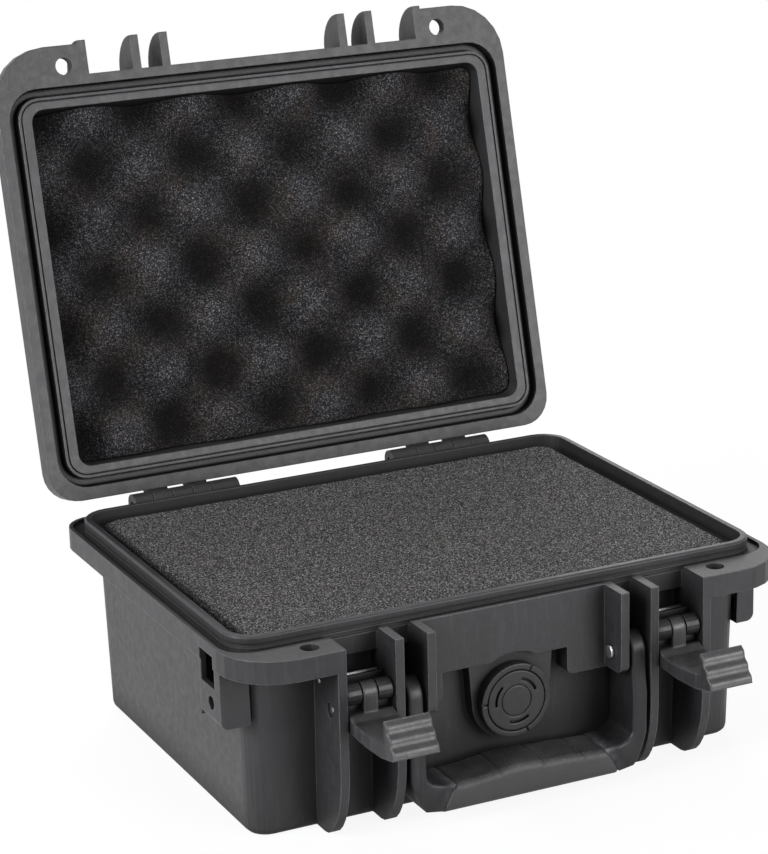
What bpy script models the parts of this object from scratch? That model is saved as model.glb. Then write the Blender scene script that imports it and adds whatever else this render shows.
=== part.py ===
"""Small waterproof hard case, standing open.

A tapered base shell carries a shallow hinged lid, two draw latches, a carrying
handle, a pressure valve and foam liners. Units are metres, +Z is up, the width
runs along X and the front faces -Y. The origin is the middle of the flat
underside. The lid is shaped as it lies when shut and is then swung open about
its hinge axis. Every moving piece has its origin on its own joint axis.
"""
import math

import bmesh
import bpy
from mathutils import Matrix, Vector

# Fits and working allowances
GAP = 0.0003
OVERRUN = 0.001
BEDDING = 0.001

# Facet counts
CORNER_STEPS = 6
BORE_STEPS = 16
ROUND_STEPS = 24
FINE_STEPS = 48
RIB_STEPS = 8
VALVE_SLOT_STEPS = 8
EDGE_STEPS = 3
SMOOTH_ANGLE = 32

# Base shell: walls, floor and the sealing tongue that stands out past the walls
PARTING_HEIGHT = 0.0863
BODY_HALF_WIDTH = 0.1172
BODY_HALF_DEPTH = 0.0866
BODY_CORNER = 0.0095
BODY_TAPER_WIDTH = 0.0017
BODY_TAPER_DEPTH = 0.0022
FLOOR_EDGE_ROUND = 0.003
WALL = 0.0026
LEDGE_DROP = 0.0023
TONGUE_END_REACH = 0.0063
TONGUE_FRONT_REACH = 0.0039
TONGUE_HALF_WIDTH = BODY_HALF_WIDTH + TONGUE_END_REACH
TONGUE_HALF_DEPTH = BODY_HALF_DEPTH + TONGUE_FRONT_REACH
TONGUE_CORNER = 0.0135
TONGUE_RISE = 0.0047
TONGUE_NECK_RISE = 0.0017
TONGUE_NECK_INSET = 0.0009
TONGUE_TIP_ROUND = 0.0007
TONGUE_WALL = 0.003

# Flange round the tongue, with its hanging skirt and sealing channel
FLANGE_END_REACH = 0.0055
FLANGE_FRONT_REACH = 0.005
FLANGE_BACK_REACH = 0.0063
FLANGE_HALF_WIDTH = TONGUE_HALF_WIDTH + FLANGE_END_REACH
FLANGE_FRONT = TONGUE_HALF_DEPTH + FLANGE_FRONT_REACH
FLANGE_BACK = TONGUE_HALF_DEPTH + FLANGE_BACK_REACH
FLANGE_CORNER = 0.014
FLANGE_PLATE = 0.004
SKIRT_DROP = 0.0098
SKIRT_WALL = 0.003
CHANNEL_LIP = 0.0018
CHANNEL_DEPTH = 0.0018
BAY_REACH = 0.0015
BAY_FRONT = TONGUE_HALF_DEPTH + BAY_REACH

# Front ribs, which carry the latch and handle pins
RIB_THICKNESS = 0.0039
RIB_REACH = 0.014
RIB_FRONT = FLANGE_FRONT + RIB_REACH
OUTER_RIB_INSET = 0.04375
LATCH_BAY = 0.02565
HANDLE_BAY = 0.0144
OUTER_RIB_X = FLANGE_HALF_WIDTH - OUTER_RIB_INSET
MIDDLE_RIB_X = OUTER_RIB_X - LATCH_BAY
INNER_RIB_X = MIDDLE_RIB_X - HANDLE_BAY
RIB_CURVE_HEIGHT = 0.033
RIB_CURVE_REACH = 0.0175
RIB_FOOT_HEIGHT = 0.001
INNER_RIB_DROP = 0.0363
INNER_RIB_FOOT_HEIGHT = PARTING_HEIGHT - INNER_RIB_DROP
INNER_RIB_ROUND = 0.004

# Padlock ears beside the outer ribs
EAR_CORNER = 0.025
EAR_HOLE_INSET = 0.034
EAR_HOLE_SETBACK = 0.0095
EAR_HOLE_X = FLANGE_HALF_WIDTH - EAR_HOLE_INSET
EAR_HOLE_Y = RIB_FRONT - EAR_HOLE_SETBACK
EAR_HOLE_RADIUS = 0.004

# Front panel: apron, pads beside the handle ribs, and the valve seat
APRON_DROP = 0.0248
APRON_FOOT_HEIGHT = PARTING_HEIGHT - APRON_DROP
PAD_DROP = 0.0373
PAD_FOOT_HEIGHT = PARTING_HEIGHT - PAD_DROP
LEFT_PAD_REACH = 0.0095
RIGHT_PAD_REACH = 0.018
PAD_CORNER = 0.003
SEAT_REACH = 0.0054
SEAT_FRONT = BODY_HALF_DEPTH + SEAT_REACH

# Strap brackets on both ends
LEFT_BRACKET_REACH = 0.0113
RIGHT_BRACKET_REACH = 0.007
LEFT_BRACKET_FACE = BODY_HALF_WIDTH + LEFT_BRACKET_REACH
RIGHT_BRACKET_FACE = BODY_HALF_WIDTH + RIGHT_BRACKET_REACH
BRACKET_SETBACK = 0.0011
BRACKET_LENGTH = 0.021
BRACKET_DROP = 0.0348
BRACKET_FRONT = BODY_HALF_DEPTH - BRACKET_SETBACK
BRACKET_BACK = BRACKET_FRONT - BRACKET_LENGTH
BRACKET_FOOT_HEIGHT = PARTING_HEIGHT - BRACKET_DROP
BRACKET_WALL = 0.0025
BRACKET_ROUND = 0.0035
STRAP_SLOT_SETBACK = 0.0055
STRAP_SLOT_LENGTH = 0.0136
STRAP_SLOT_DROP = 0.0045
STRAP_SLOT_OPENING = 0.0143
STRAP_SLOT_FRONT = BRACKET_FRONT - STRAP_SLOT_SETBACK
STRAP_SLOT_BACK = STRAP_SLOT_FRONT - STRAP_SLOT_LENGTH
STRAP_SLOT_TOP = PARTING_HEIGHT - STRAP_SLOT_DROP
STRAP_SLOT_FOOT = STRAP_SLOT_TOP - STRAP_SLOT_OPENING
STRAP_HOLE_SETBACK = 0.0095
STRAP_HOLE_RISE = 0.009
STRAP_HOLE_Y = BRACKET_FRONT - STRAP_HOLE_SETBACK
STRAP_HOLE_HEIGHT = BRACKET_FOOT_HEIGHT + STRAP_HOLE_RISE
STRAP_HOLE_RADIUS = 0.003

# Lid hinges behind the flange, with knuckle ends measured from the middle of the case
HINGE_REACH = 0.0057
HINGE_DROP = 0.0005
HINGE_Y = FLANGE_BACK + HINGE_REACH
HINGE_HEIGHT = PARTING_HEIGHT - HINGE_DROP
KNUCKLE_RADIUS = 0.005
HINGE_INSET = 0.037
HINGE_LENGTH = 0.0525
HINGE_END = FLANGE_HALF_WIDTH - HINGE_INSET
KNUCKLE_END_SHARES = (0, 0.262, 0.443, 0.633, 0.819, 1)
KNUCKLE_ENDS = [HINGE_END - HINGE_LENGTH * (1 - share) for share in KNUCKLE_END_SHARES]
KNUCKLE_PLAY = 0.0004
HINGE_PIN_RADIUS = 0.0015
HINGE_PIN_RECESS = 0.001
KNUCKLE_WEB_RISE = 0.0085
LID_OPEN_ANGLE = 104.2

# Lid shell
LID_FLANGE_HEIGHT = 0.0099
LID_EAR_HEIGHT = 0.0054
LID_RISE = 0.0312
LID_TOP_HEIGHT = PARTING_HEIGHT + LID_RISE
LID_BODY_INSET = 0.0063
LID_TOP_INSET = 0.0022
LID_TOP_ROUND = 0.005
LID_FRAME_END = 0.0098
LID_FRAME_FRONT = 0.0089
LID_CAVITY_HALF_WIDTH = TONGUE_HALF_WIDTH - LID_FRAME_END
LID_CAVITY_HALF_DEPTH = TONGUE_HALF_DEPTH - LID_FRAME_FRONT
LID_CAVITY_CORNER = 0.006
LID_CAVITY_INSET = 0.003
GROOVE_PLAY = 0.0006
GROOVE_DEPTH = 0.0079
FRAME_LINE_INSET = 0.0012
FRAME_LINE_WIDTH = 0.0007
FRAME_LINE_DEPTH = 0.001
FIN_REACH = 0.0155
FIN_RISE = 0.017
FIN_TIP = 0.002

# Gasket
GASKET_HEIGHT = 0.0028
GASKET_SIDE_PLAY = 0.0003
GASKET_CHAMFER = 0.0006

# Foam liners
FOAM_DROP = 0.0027
FOAM_PAD_HEIGHT = 0.010
EGG_DEPTH = 0.0125
EGG_BACK = 0.0122
EGG_PITCH_X = 0.026
EGG_PITCH_Y = 0.0248
EGG_PEAK_X = -0.008
EGG_PEAK_Y = -0.0037
EGG_CELLS_X = 34
EGG_CELLS_Y = 26

# Pins of the latches and handle
PIN_SETBACK = 0.0085
PIN_DROP = 0.0283
PIN_Y = RIB_FRONT - PIN_SETBACK
PIN_HEIGHT = PARTING_HEIGHT - PIN_DROP
LATCH_PIN_RADIUS = 0.00125
LATCH_PIN_RECESS = 0.0008
PIN_SEAT = 0.0014
PIN_SINK_RADIUS = 0.0032
PIN_SINK_DEPTH = 0.0012
STOP_PIN_RADIUS = 0.0011
STOP_PIN_SETBACK = 0.0186
STOP_PIN_DROP = 0.019
STOP_PIN_Y = RIB_FRONT - STOP_PIN_SETBACK
STOP_PIN_HEIGHT = PARTING_HEIGHT - STOP_PIN_DROP
STOP_PIN_STAND_OUT = 0.0004
HANDLE_PIN_RADIUS = 0.0021
HANDLE_PIN_HEAD_RADIUS = 0.0029
HANDLE_PIN_HEAD_HEIGHT = 0.0009

# Latch: a short link on the base pin and a claw lever on the link
LATCH_SIDE_PLAY = 0.000875
LATCH_WIDTH = LATCH_BAY - RIB_THICKNESS - LATCH_SIDE_PLAY * 2
LATCH_X = (OUTER_RIB_X + MIDDLE_RIB_X) / 2
LINK_LEAN = 0.0028
LINK_RISE = 0.0063
LINK_PIN_Y = PIN_Y + LINK_LEAN
LINK_PIN_HEIGHT = PIN_HEIGHT + LINK_RISE
LINK_BARREL_RADIUS = 0.0046
LINK_ROOT_RADIUS = 0.0036
LEVER_KNUCKLE_WIDTH = 0.0062
LEVER_KNUCKLE_PLAY = 0.0007
LEVER_START = 0.0027
LEVER_LENGTH = 0.0335
LEVER_DROP = 0.0071
LEVER_CREST = 0.0017
LEVER_THICKNESS = 0.0055
LEVER_BACK = LINK_PIN_Y + LEVER_START
LEVER_END = LEVER_BACK + LEVER_LENGTH
LEVER_CREST_HEIGHT = LINK_PIN_HEIGHT - LEVER_DROP
LEVER_TOP_HEIGHT = LEVER_CREST_HEIGHT - LEVER_CREST
LEVER_FOOT_HEIGHT = LEVER_TOP_HEIGHT - LEVER_THICKNESS
LEVER_DIP = 0.0008
TAB_RISE = 0.0096
TAB_START = 0.0006
TAB_LEAN = 0.0088
TAB_HEIGHT = 0.0138
TAB_TOP_HEIGHT = LEVER_CREST_HEIGHT + TAB_RISE
TAB_TOP_Y = LEVER_END + TAB_START
TAB_FOOT_Y = TAB_TOP_Y + TAB_LEAN
TAB_FOOT_HEIGHT = TAB_TOP_HEIGHT - TAB_HEIGHT
TAB_RIDGES = 3
TAB_RIDGE_RISE = 0.00045
TAB_RIDGE_STEPS = 6
LEVER_TONGUE_REACH = 0.0048
LEVER_TONGUE_THICKNESS = 0.0024
LINK_WEB_RISE = 0.0056
LINK_WEB_TOP = LINK_PIN_HEIGHT + LINK_WEB_RISE
LINK_WEB_THICKNESS = 0.0014

# Carrying handle
HANDLE_ARM_X = (MIDDLE_RIB_X + INNER_RIB_X) / 2
HANDLE_ARM_WIDTH = 0.007
HANDLE_SIDE_PLAY = 0.00045
HANDLE_BOSS_WIDTH = HANDLE_BAY - RIB_THICKNESS - HANDLE_SIDE_PLAY * 2
HANDLE_BOSS_RADIUS = 0.0078
HANDLE_ARM_THICKNESS = 0.009
HANDLE_ARM_FORWARD = 0.003
HANDLE_DROP = 0.0453
HANDLE_BAR_HEIGHT = 0.0104
HANDLE_BAR_DEPTH = 0.011
HANDLE_BAR_FORWARD = 0.005
HANDLE_BEND = 0.010
HANDLE_ROUND_SHARE = 2 / 3
GRIP_END_DISTANCE = 0.0044
GRIP_HALF_LENGTH = HANDLE_ARM_X - HANDLE_BEND - GRIP_END_DISTANCE
GRIP_WALL = 0.0015
GRIP_SWELL = 0.0011
GRIP_END_SWELL = 0.0004
GRIP_RING_SHARES = (-1, -0.6, -0.2, 0.2, 0.6, 1)

# Pressure valve
VALVE_DROP = 0.0433
VALVE_HEIGHT = PARTING_HEIGHT - VALVE_DROP
VALVE_RADIUS = 0.0162
VALVE_SEAT_RADIUS = 0.0183
VALVE_SEAT_FLARE = 0.0017
VALVE_FLANGE_HEIGHT = 0.0048
VALVE_STEM_RADIUS = 0.0065
VALVE_RECESS_RADIUS = 0.0138
VALVE_RECESS_DEPTH = 0.0016
VALVE_CAP_RADIUS = 0.0132
VALVE_CAP_HEIGHT = 0.0014
VALVE_BUTTON_RADIUS = 0.0072
VALVE_BUTTON_GROOVE = 0.0005
VALVE_SLOT_RADIUS = 0.0096
VALVE_SLOT_WIDTH = 0.0012
VALVE_SLOT_ANGLES = (160, 47, 278)
VALVE_SLOT_SPAN = 56
VALVE_NOTCH_ANGLES = (62, 178, 290)
VALVE_NOTCH_WIDTH = 0.0010
VALVE_NOTCH_DEPTH = 0.0008
VALVE_PORT_RADIUS = 0.004
MEMBRANE_RADIUS = 0.0055
MEMBRANE_THICKNESS = 0.0005
VALVE_SEAL_INNER = 0.0095
VALVE_SEAL_OUTER = 0.0125
VALVE_SEAL_HEIGHT = 0.0016

# Materials as colour, roughness and metallic
BLACK_SHELL = ("moulded_shell", (0.045, 0.046, 0.050), 0.48, 0.0)
BLACK_LATCH = ("moulded_latch", (0.060, 0.061, 0.066), 0.42, 0.0)
RUBBER_GRIP = ("grip_rubber", (0.040, 0.041, 0.044), 0.62, 0.0)
GASKET_RUBBER = ("gasket_rubber", (0.020, 0.020, 0.022), 0.70, 0.0)
PIN_STEEL = ("pin_steel", (0.62, 0.63, 0.65), 0.28, 1.0)
BLOCK_FOAM = ("block_foam", (0.055, 0.056, 0.060), 0.95, 0.0)
EGG_FOAM = ("egg_foam", (0.040, 0.041, 0.050), 0.95, 0.0)
VALVE_PLASTIC = ("valve_plastic", (0.055, 0.054, 0.058), 0.50, 0.0)
MEMBRANE_FILM = ("membrane_film", (0.75, 0.75, 0.74), 0.60, 0.0)


def arc(centre, radius_u, radius_v, start, end, steps):
    """Points on an elliptical arc, with the angles in degrees."""
    points = []
    for index in range(steps + 1):
        angle = math.radians(start + (end - start) * index / steps)
        points.append((centre[0] + radius_u * math.cos(angle), centre[1] + radius_v * math.sin(angle)))
    return points


def rounded_rectangle(half_width, front, back, radius):
    """Anticlockwise outline between y = -front and y = back."""
    x, y_low, y_high = half_width - radius, radius - front, back - radius
    outline = arc((x, y_low), radius, radius, -90, 0, CORNER_STEPS)
    outline += arc((x, y_high), radius, radius, 0, 90, CORNER_STEPS)
    outline += arc((-x, y_high), radius, radius, 90, 180, CORNER_STEPS)
    outline += arc((-x, y_low), radius, radius, 180, 270, CORNER_STEPS)
    return outline


def inset_outline(outline, distance):
    """The anticlockwise outline moved inwards by an even distance."""
    moved = []
    count = len(outline)
    for index, point in enumerate(outline):
        here = Vector(point)
        before = (here - Vector(outline[index - 1])).normalized()
        after = (Vector(outline[(index + 1) % count]) - here).normalized()
        inward = Vector((-before.y - after.y, before.x + after.x)).normalized()
        stretch = inward.dot(Vector((-before.y, before.x)))
        moved.append(tuple(here + inward * (distance / stretch)))
    return moved


def solid(name, rings):
    """A closed solid through rings of 3D points, capped at both ends."""
    builder = bmesh.new()
    layers = []
    for ring in rings:
        layers.append([builder.verts.new(point) for point in ring])
    builder.faces.new(layers[0])
    builder.faces.new(layers[-1])
    count = len(layers[0])
    for lower, upper in zip(layers, layers[1:]):
        for index in range(count):
            after = (index + 1) % count
            builder.faces.new((lower[index], lower[after], upper[after], upper[index]))
    return finished_mesh(name, builder)


def finished_mesh(name, builder):
    """Turn a bmesh into an object whose faces all look outwards."""
    bmesh.ops.recalc_face_normals(builder, faces=builder.faces)
    mesh = bpy.data.meshes.new(name)
    builder.to_mesh(mesh)
    builder.free()
    thing = bpy.data.objects.new(name, mesh)
    bpy.context.scene.collection.objects.link(thing)
    return thing


def place(point, axis, along):
    """A 2D outline point set at a distance along X, Y or Z."""
    u, v = point
    if axis == "X":
        return (along, u, v)
    if axis == "Y":
        return (u, along, v)
    return (u, v, along)


def prism(name, outline, axis, start, end):
    """An outline pushed along an axis. Its plane is YZ, XZ or XY."""
    rings = []
    for along in (start, end):
        rings.append([place(point, axis, along) for point in outline])
    return solid(name, rings)


def box(name, x_range, y_range, z_range):
    """A plain block between pairs of coordinates."""
    outline = [
        (x_range[0], y_range[0]),
        (x_range[1], y_range[0]),
        (x_range[1], y_range[1]),
        (x_range[0], y_range[1]),
    ]
    return prism(name, outline, "Z", z_range[0], z_range[1])


def rod(name, centre, radius, axis, start, end, steps=BORE_STEPS):
    """A round bar along an axis."""
    turn = 180 / steps
    outline = arc(centre, radius, radius, turn, turn + 360, steps)[:-1]
    return prism(name, outline, axis, start, end)


def combine(target, tool, operation):
    """Fuse a tool into the target or cut it out, and remove the tool."""
    change = target.modifiers.new("shape", "BOOLEAN")
    change.operation = operation
    change.solver = "EXACT"
    change.object = tool
    bpy.context.view_layer.update()
    evaluated = target.evaluated_get(bpy.context.evaluated_depsgraph_get())
    shaped = bpy.data.meshes.new_from_object(evaluated)
    target.modifiers.clear()
    used = target.data
    target.data = shaped
    bpy.data.meshes.remove(used)
    used = tool.data
    bpy.data.objects.remove(tool)
    bpy.data.meshes.remove(used)


def fuse(target, *tools):
    """Fuse each tool into the target."""
    for tool in tools:
        combine(target, tool, "UNION")


def cut(target, *tools):
    """Cut each tool out of the target."""
    for tool in tools:
        combine(target, tool, "DIFFERENCE")


def give_material(thing, finish):
    """Shade an object smooth between its edges and give it its material."""
    thing.data.shade_smooth()
    thing.data.set_sharp_from_angle(angle=math.radians(SMOOTH_ANGLE))
    name, colour, roughness, metallic = finish
    material = bpy.data.materials.get(name)
    if material is None:
        material = bpy.data.materials.new(name)
        material.use_nodes = True
        shader = material.node_tree.nodes["Principled BSDF"]
        shader.inputs["Base Color"].default_value = (*colour, 1.0)
        shader.inputs["Roughness"].default_value = roughness
        shader.inputs["Metallic"].default_value = metallic
        material.diffuse_color = (*colour, 1.0)
    thing.data.materials.clear()
    thing.data.materials.append(material)


def move_origin(thing, point):
    """Put an object's origin at a point without moving its mesh."""
    thing.data.transform(Matrix.Translation(-Vector(point)))
    thing.location = point


def base_sizes(height):
    """Outer half width and half depth of the base wall at a height."""
    share = 1 - height / PARTING_HEIGHT
    return BODY_HALF_WIDTH - BODY_TAPER_WIDTH * share, BODY_HALF_DEPTH - BODY_TAPER_DEPTH * share


def base_ring(height, inset):
    """A level ring of the base wall, moved inwards by an inset."""
    half_width, half_depth = base_sizes(height)
    half_depth -= inset
    outline = rounded_rectangle(half_width - inset, half_depth, half_depth, BODY_CORNER - inset)
    return [(x, y, height) for x, y in outline]


def level_ring(half_width, half_depth, corner, height):
    """A level rounded rectangle about the middle of the case."""
    outline = rounded_rectangle(half_width, half_depth, half_depth, corner)
    return [(x, y, height) for x, y in outline]


def tongue_ring(height, inset):
    """A level ring of the sealing tongue's outer face."""
    return level_ring(TONGUE_HALF_WIDTH - inset, TONGUE_HALF_DEPTH - inset, TONGUE_CORNER - inset, height)


def flange_outline(front_in_bays):
    """Plan of the flange: a front edge with latch bays and two padlock ears."""
    inner = INNER_RIB_X + RIB_THICKNESS / 2
    outer = OUTER_RIB_X - RIB_THICKNESS / 2
    ear_x = FLANGE_HALF_WIDTH - EAR_CORNER
    right = [(inner, -FLANGE_FRONT), (inner, -front_in_bays), (outer, -front_in_bays), (outer, -RIB_FRONT)]
    right += arc((ear_x, EAR_CORNER - RIB_FRONT), EAR_CORNER, EAR_CORNER, -90, 0, CORNER_STEPS)
    back_x, back_y = FLANGE_HALF_WIDTH - FLANGE_CORNER, FLANGE_BACK - FLANGE_CORNER
    right += arc((back_x, back_y), FLANGE_CORNER, FLANGE_CORNER, 0, 90, CORNER_STEPS)
    return right + [(-x, y) for x, y in reversed(right)]


def base_flange():
    """The flange plate with the skirt that hangs from its edge."""
    outline = flange_outline(BAY_FRONT)
    foot = PARTING_HEIGHT - SKIRT_DROP
    flange = prism("flange", outline, "Z", foot, PARTING_HEIGHT)
    hollow = prism(
        "hollow", inset_outline(outline, SKIRT_WALL), "Z", foot - OVERRUN, PARTING_HEIGHT - FLANGE_PLATE
    )
    cut(flange, hollow)
    return flange


def channel_tool():
    """The ring cut that leaves a lip round the flange outside the tongue."""
    floor = PARTING_HEIGHT - CHANNEL_DEPTH
    outline = rounded_rectangle(
        FLANGE_HALF_WIDTH - CHANNEL_LIP,
        FLANGE_FRONT - CHANNEL_LIP,
        FLANGE_BACK - CHANNEL_LIP,
        FLANGE_CORNER - CHANNEL_LIP,
    )
    tool = prism("channel", outline, "Z", floor, PARTING_HEIGHT + OVERRUN)
    core = solid("core", [tongue_ring(floor - OVERRUN, 0), tongue_ring(PARTING_HEIGHT + OVERRUN * 2, 0)])
    cut(tool, core)
    return tool


def sealing_tongue():
    """The upright rim that enters the lid's groove, on a narrower neck."""
    neck_top = PARTING_HEIGHT + TONGUE_NECK_RISE
    top = PARTING_HEIGHT + TONGUE_RISE
    rings = [
        tongue_ring(PARTING_HEIGHT - CHANNEL_DEPTH - BEDDING, TONGUE_NECK_INSET),
        tongue_ring(neck_top, TONGUE_NECK_INSET),
        tongue_ring(neck_top, 0),
        tongue_ring(top - TONGUE_TIP_ROUND, 0),
        tongue_ring(top, TONGUE_TIP_ROUND),
    ]
    return solid("tongue", rings)


def base_body():
    """The tapered outer box with a rounded bottom edge."""
    rings = []
    for index in range(EDGE_STEPS + 1):
        angle = math.radians(90 * index / EDGE_STEPS)
        height = FLOOR_EDGE_ROUND * (1 - math.cos(angle))
        rings.append(base_ring(height, FLOOR_EDGE_ROUND * (1 - math.sin(angle))))
    rings.append(base_ring(PARTING_HEIGHT, 0))
    return solid("base_shell", rings)


def base_cavity():
    """The space inside the walls, with a ledge inside the sealing tongue."""
    ledge = PARTING_HEIGHT - LEDGE_DROP
    top = PARTING_HEIGHT + TONGUE_RISE + OVERRUN
    rings = [
        base_ring(WALL, WALL),
        base_ring(ledge, WALL),
        tongue_ring(ledge, TONGUE_WALL),
        tongue_ring(top, TONGUE_WALL),
    ]
    return solid("cavity", rings)


def wall_middle(height):
    """Depth of the middle of the front wall at a height."""
    return base_sizes(height)[1] - WALL / 2


def long_rib(x):
    """A full-height front rib with a foot that curves back to the wall."""
    profile = arc(
        (-RIB_FRONT + RIB_CURVE_REACH, RIB_CURVE_HEIGHT),
        RIB_CURVE_REACH,
        RIB_CURVE_HEIGHT - RIB_FOOT_HEIGHT,
        180,
        270,
        RIB_STEPS,
    )
    profile.append((-wall_middle(RIB_FOOT_HEIGHT), RIB_FOOT_HEIGHT))
    profile.append((-wall_middle(PARTING_HEIGHT), PARTING_HEIGHT))
    profile.append((-RIB_FRONT, PARTING_HEIGHT))
    return prism("rib", profile, "X", x - RIB_THICKNESS / 2, x + RIB_THICKNESS / 2)


def short_rib(x):
    """A rib that stops below the handle pin."""
    profile = arc(
        (-RIB_FRONT + INNER_RIB_ROUND, INNER_RIB_FOOT_HEIGHT + INNER_RIB_ROUND),
        INNER_RIB_ROUND,
        INNER_RIB_ROUND,
        180,
        270,
        CORNER_STEPS,
    )
    profile.append((-wall_middle(INNER_RIB_FOOT_HEIGHT), INNER_RIB_FOOT_HEIGHT))
    profile.append((-wall_middle(PARTING_HEIGHT), PARTING_HEIGHT))
    profile.append((-RIB_FRONT, PARTING_HEIGHT))
    return prism("rib", profile, "X", x - RIB_THICKNESS / 2, x + RIB_THICKNESS / 2)


def valve_arch():
    """The round cut that keeps the front panel clear of the valve."""
    radius = VALVE_RADIUS + WALL * 2
    axis = (0, VALVE_HEIGHT)
    return rod("arch", axis, radius, "Y", -FLANGE_FRONT - OVERRUN, -wall_middle(0), FINE_STEPS)


def apron():
    """The raised panel between the inner ribs, arched over the valve."""
    panel = box(
        "apron",
        (-INNER_RIB_X, INNER_RIB_X),
        (-FLANGE_FRONT, -wall_middle(APRON_FOOT_HEIGHT)),
        (APRON_FOOT_HEIGHT, PARTING_HEIGHT - FLANGE_PLATE / 2),
    )
    cut(panel, valve_arch())
    return panel


def rib_pad(side, reach):
    """A raised pad under the apron, against the inner face of a short rib."""
    near, far = INNER_RIB_X, INNER_RIB_X - RIB_THICKNESS / 2 - reach
    corner = (far + PAD_CORNER, PAD_FOOT_HEIGHT + PAD_CORNER)
    profile = [(near, APRON_FOOT_HEIGHT + BEDDING), (near, PAD_FOOT_HEIGHT)]
    profile += arc(corner, PAD_CORNER, PAD_CORNER, 270, 180, CORNER_STEPS)
    profile.append((far, APRON_FOOT_HEIGHT + BEDDING))
    profile = [(side * x, z) for x, z in profile]
    pad = prism("pad", profile, "Y", -FLANGE_FRONT, -wall_middle(PAD_FOOT_HEIGHT))
    cut(pad, valve_arch())
    return pad


def valve_seat():
    """The flat U-shaped boss that carries the pressure valve."""
    top = APRON_FOOT_HEIGHT + WALL
    flare = VALVE_SEAT_RADIUS + VALVE_SEAT_FLARE
    profile = arc((0, VALVE_HEIGHT), VALVE_SEAT_RADIUS, VALVE_SEAT_RADIUS, 180, 360, ROUND_STEPS)
    profile += [(flare, top), (-flare, top)]
    back = wall_middle(VALVE_HEIGHT - VALVE_SEAT_RADIUS)
    return prism("seat", profile, "Y", -SEAT_FRONT, -back)


def strap_bracket(side):
    """A loop on the end wall: a plate, a front wall and a foot."""
    face = LEFT_BRACKET_FACE if side < 0 else RIGHT_BRACKET_FACE
    top = PARTING_HEIGHT - FLANGE_PLATE / 2
    corner = (face - BRACKET_ROUND, BRACKET_FOOT_HEIGHT + BRACKET_ROUND)
    block_profile = arc(corner, BRACKET_ROUND, BRACKET_ROUND, 270, 360, CORNER_STEPS)
    block_profile.append((face, top))
    block_profile.append((base_sizes(top)[0] - BEDDING, top))
    block_profile.append((base_sizes(BRACKET_FOOT_HEIGHT)[0] - BEDDING, BRACKET_FOOT_HEIGHT))
    block_profile = [(side * x, z) for x, z in block_profile]
    block = prism("bracket", block_profile, "Y", -BRACKET_FRONT, -BRACKET_BACK)
    floor = BRACKET_FOOT_HEIGHT + BRACKET_WALL
    inner_face = face - BRACKET_WALL
    roof = top + OVERRUN
    hollow_profile = [
        (side * inner_face, floor),
        (side * inner_face, roof),
        (side * (base_sizes(roof)[0] - BEDDING * 2), roof),
        (side * (base_sizes(floor)[0] - BEDDING * 2), floor),
    ]
    hollow = prism("hollow", hollow_profile, "Y", -BRACKET_FRONT + BRACKET_WALL, -BRACKET_BACK + OVERRUN)
    cut(block, hollow)
    return block


def strap_cuts(side):
    """The strap slot and the small round hole in the bracket's plate."""
    outer = FLANGE_HALF_WIDTH + OVERRUN
    inner = (LEFT_BRACKET_FACE if side < 0 else RIGHT_BRACKET_FACE) - BRACKET_WALL - OVERRUN
    slot = box(
        "slot",
        sorted((side * inner, side * outer)),
        (-STRAP_SLOT_FRONT, -STRAP_SLOT_BACK),
        (STRAP_SLOT_FOOT, STRAP_SLOT_TOP),
    )
    hole = rod(
        "hole", (-STRAP_HOLE_Y, STRAP_HOLE_HEIGHT), STRAP_HOLE_RADIUS, "X", side * inner, side * outer
    )
    return slot, hole


def knuckle(side, first, web):
    """One hinge knuckle and its web, between two of the knuckle ends."""
    start = side * (KNUCKLE_ENDS[first] + KNUCKLE_PLAY / 2)
    end = side * (KNUCKLE_ENDS[first + 1] - KNUCKLE_PLAY / 2)
    barrel = rod("knuckle", (HINGE_Y, HINGE_HEIGHT), KNUCKLE_RADIUS, "X", start, end)
    fuse(barrel, prism("web", web, "X", start, end))
    return barrel


def base_knuckle_web():
    """Side view of the web from the base skirt up to a knuckle."""
    foot = PARTING_HEIGHT - SKIRT_DROP
    inner = FLANGE_BACK - SKIRT_WALL / 2
    return [
        (inner, foot),
        (FLANGE_BACK + BEDDING, foot),
        (HINGE_Y + KNUCKLE_RADIUS, HINGE_HEIGHT),
        (HINGE_Y, PARTING_HEIGHT - FLANGE_PLATE / 2),
        (inner, PARTING_HEIGHT - FLANGE_PLATE / 2),
    ]


def lid_knuckle_web():
    """Side view of the web from the shut lid's flange down to a knuckle."""
    foot = PARTING_HEIGHT + GAP
    inner = FLANGE_BACK - SKIRT_WALL / 2
    return [
        (inner, foot + BEDDING),
        (HINGE_Y, foot + BEDDING),
        (HINGE_Y + KNUCKLE_RADIUS, HINGE_HEIGHT),
        (FLANGE_BACK + BEDDING, foot + KNUCKLE_WEB_RISE),
        (inner, foot + KNUCKLE_WEB_RISE),
    ]


def hinge_bore(side):
    """The through bore of one hinge."""
    start = side * (KNUCKLE_ENDS[0] - OVERRUN)
    end = side * (KNUCKLE_ENDS[-1] + OVERRUN)
    return rod("bore", (HINGE_Y, HINGE_HEIGHT), HINGE_PIN_RADIUS + GAP, "X", start, end)


def ear_hole(side, start, end):
    """A padlock hole through an ear."""
    return rod("hole", (side * EAR_HOLE_X, -EAR_HOLE_Y), EAR_HOLE_RADIUS, "Z", start, end)


def latch_pin_end():
    """Where the latch and stop pins end, inside the middle rib."""
    return MIDDLE_RIB_X + RIB_THICKNESS / 2 - PIN_SEAT


def handle_pin_end():
    """Where the handle pin ends, inside the middle rib."""
    return MIDDLE_RIB_X - RIB_THICKNESS / 2 + PIN_SEAT


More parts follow.
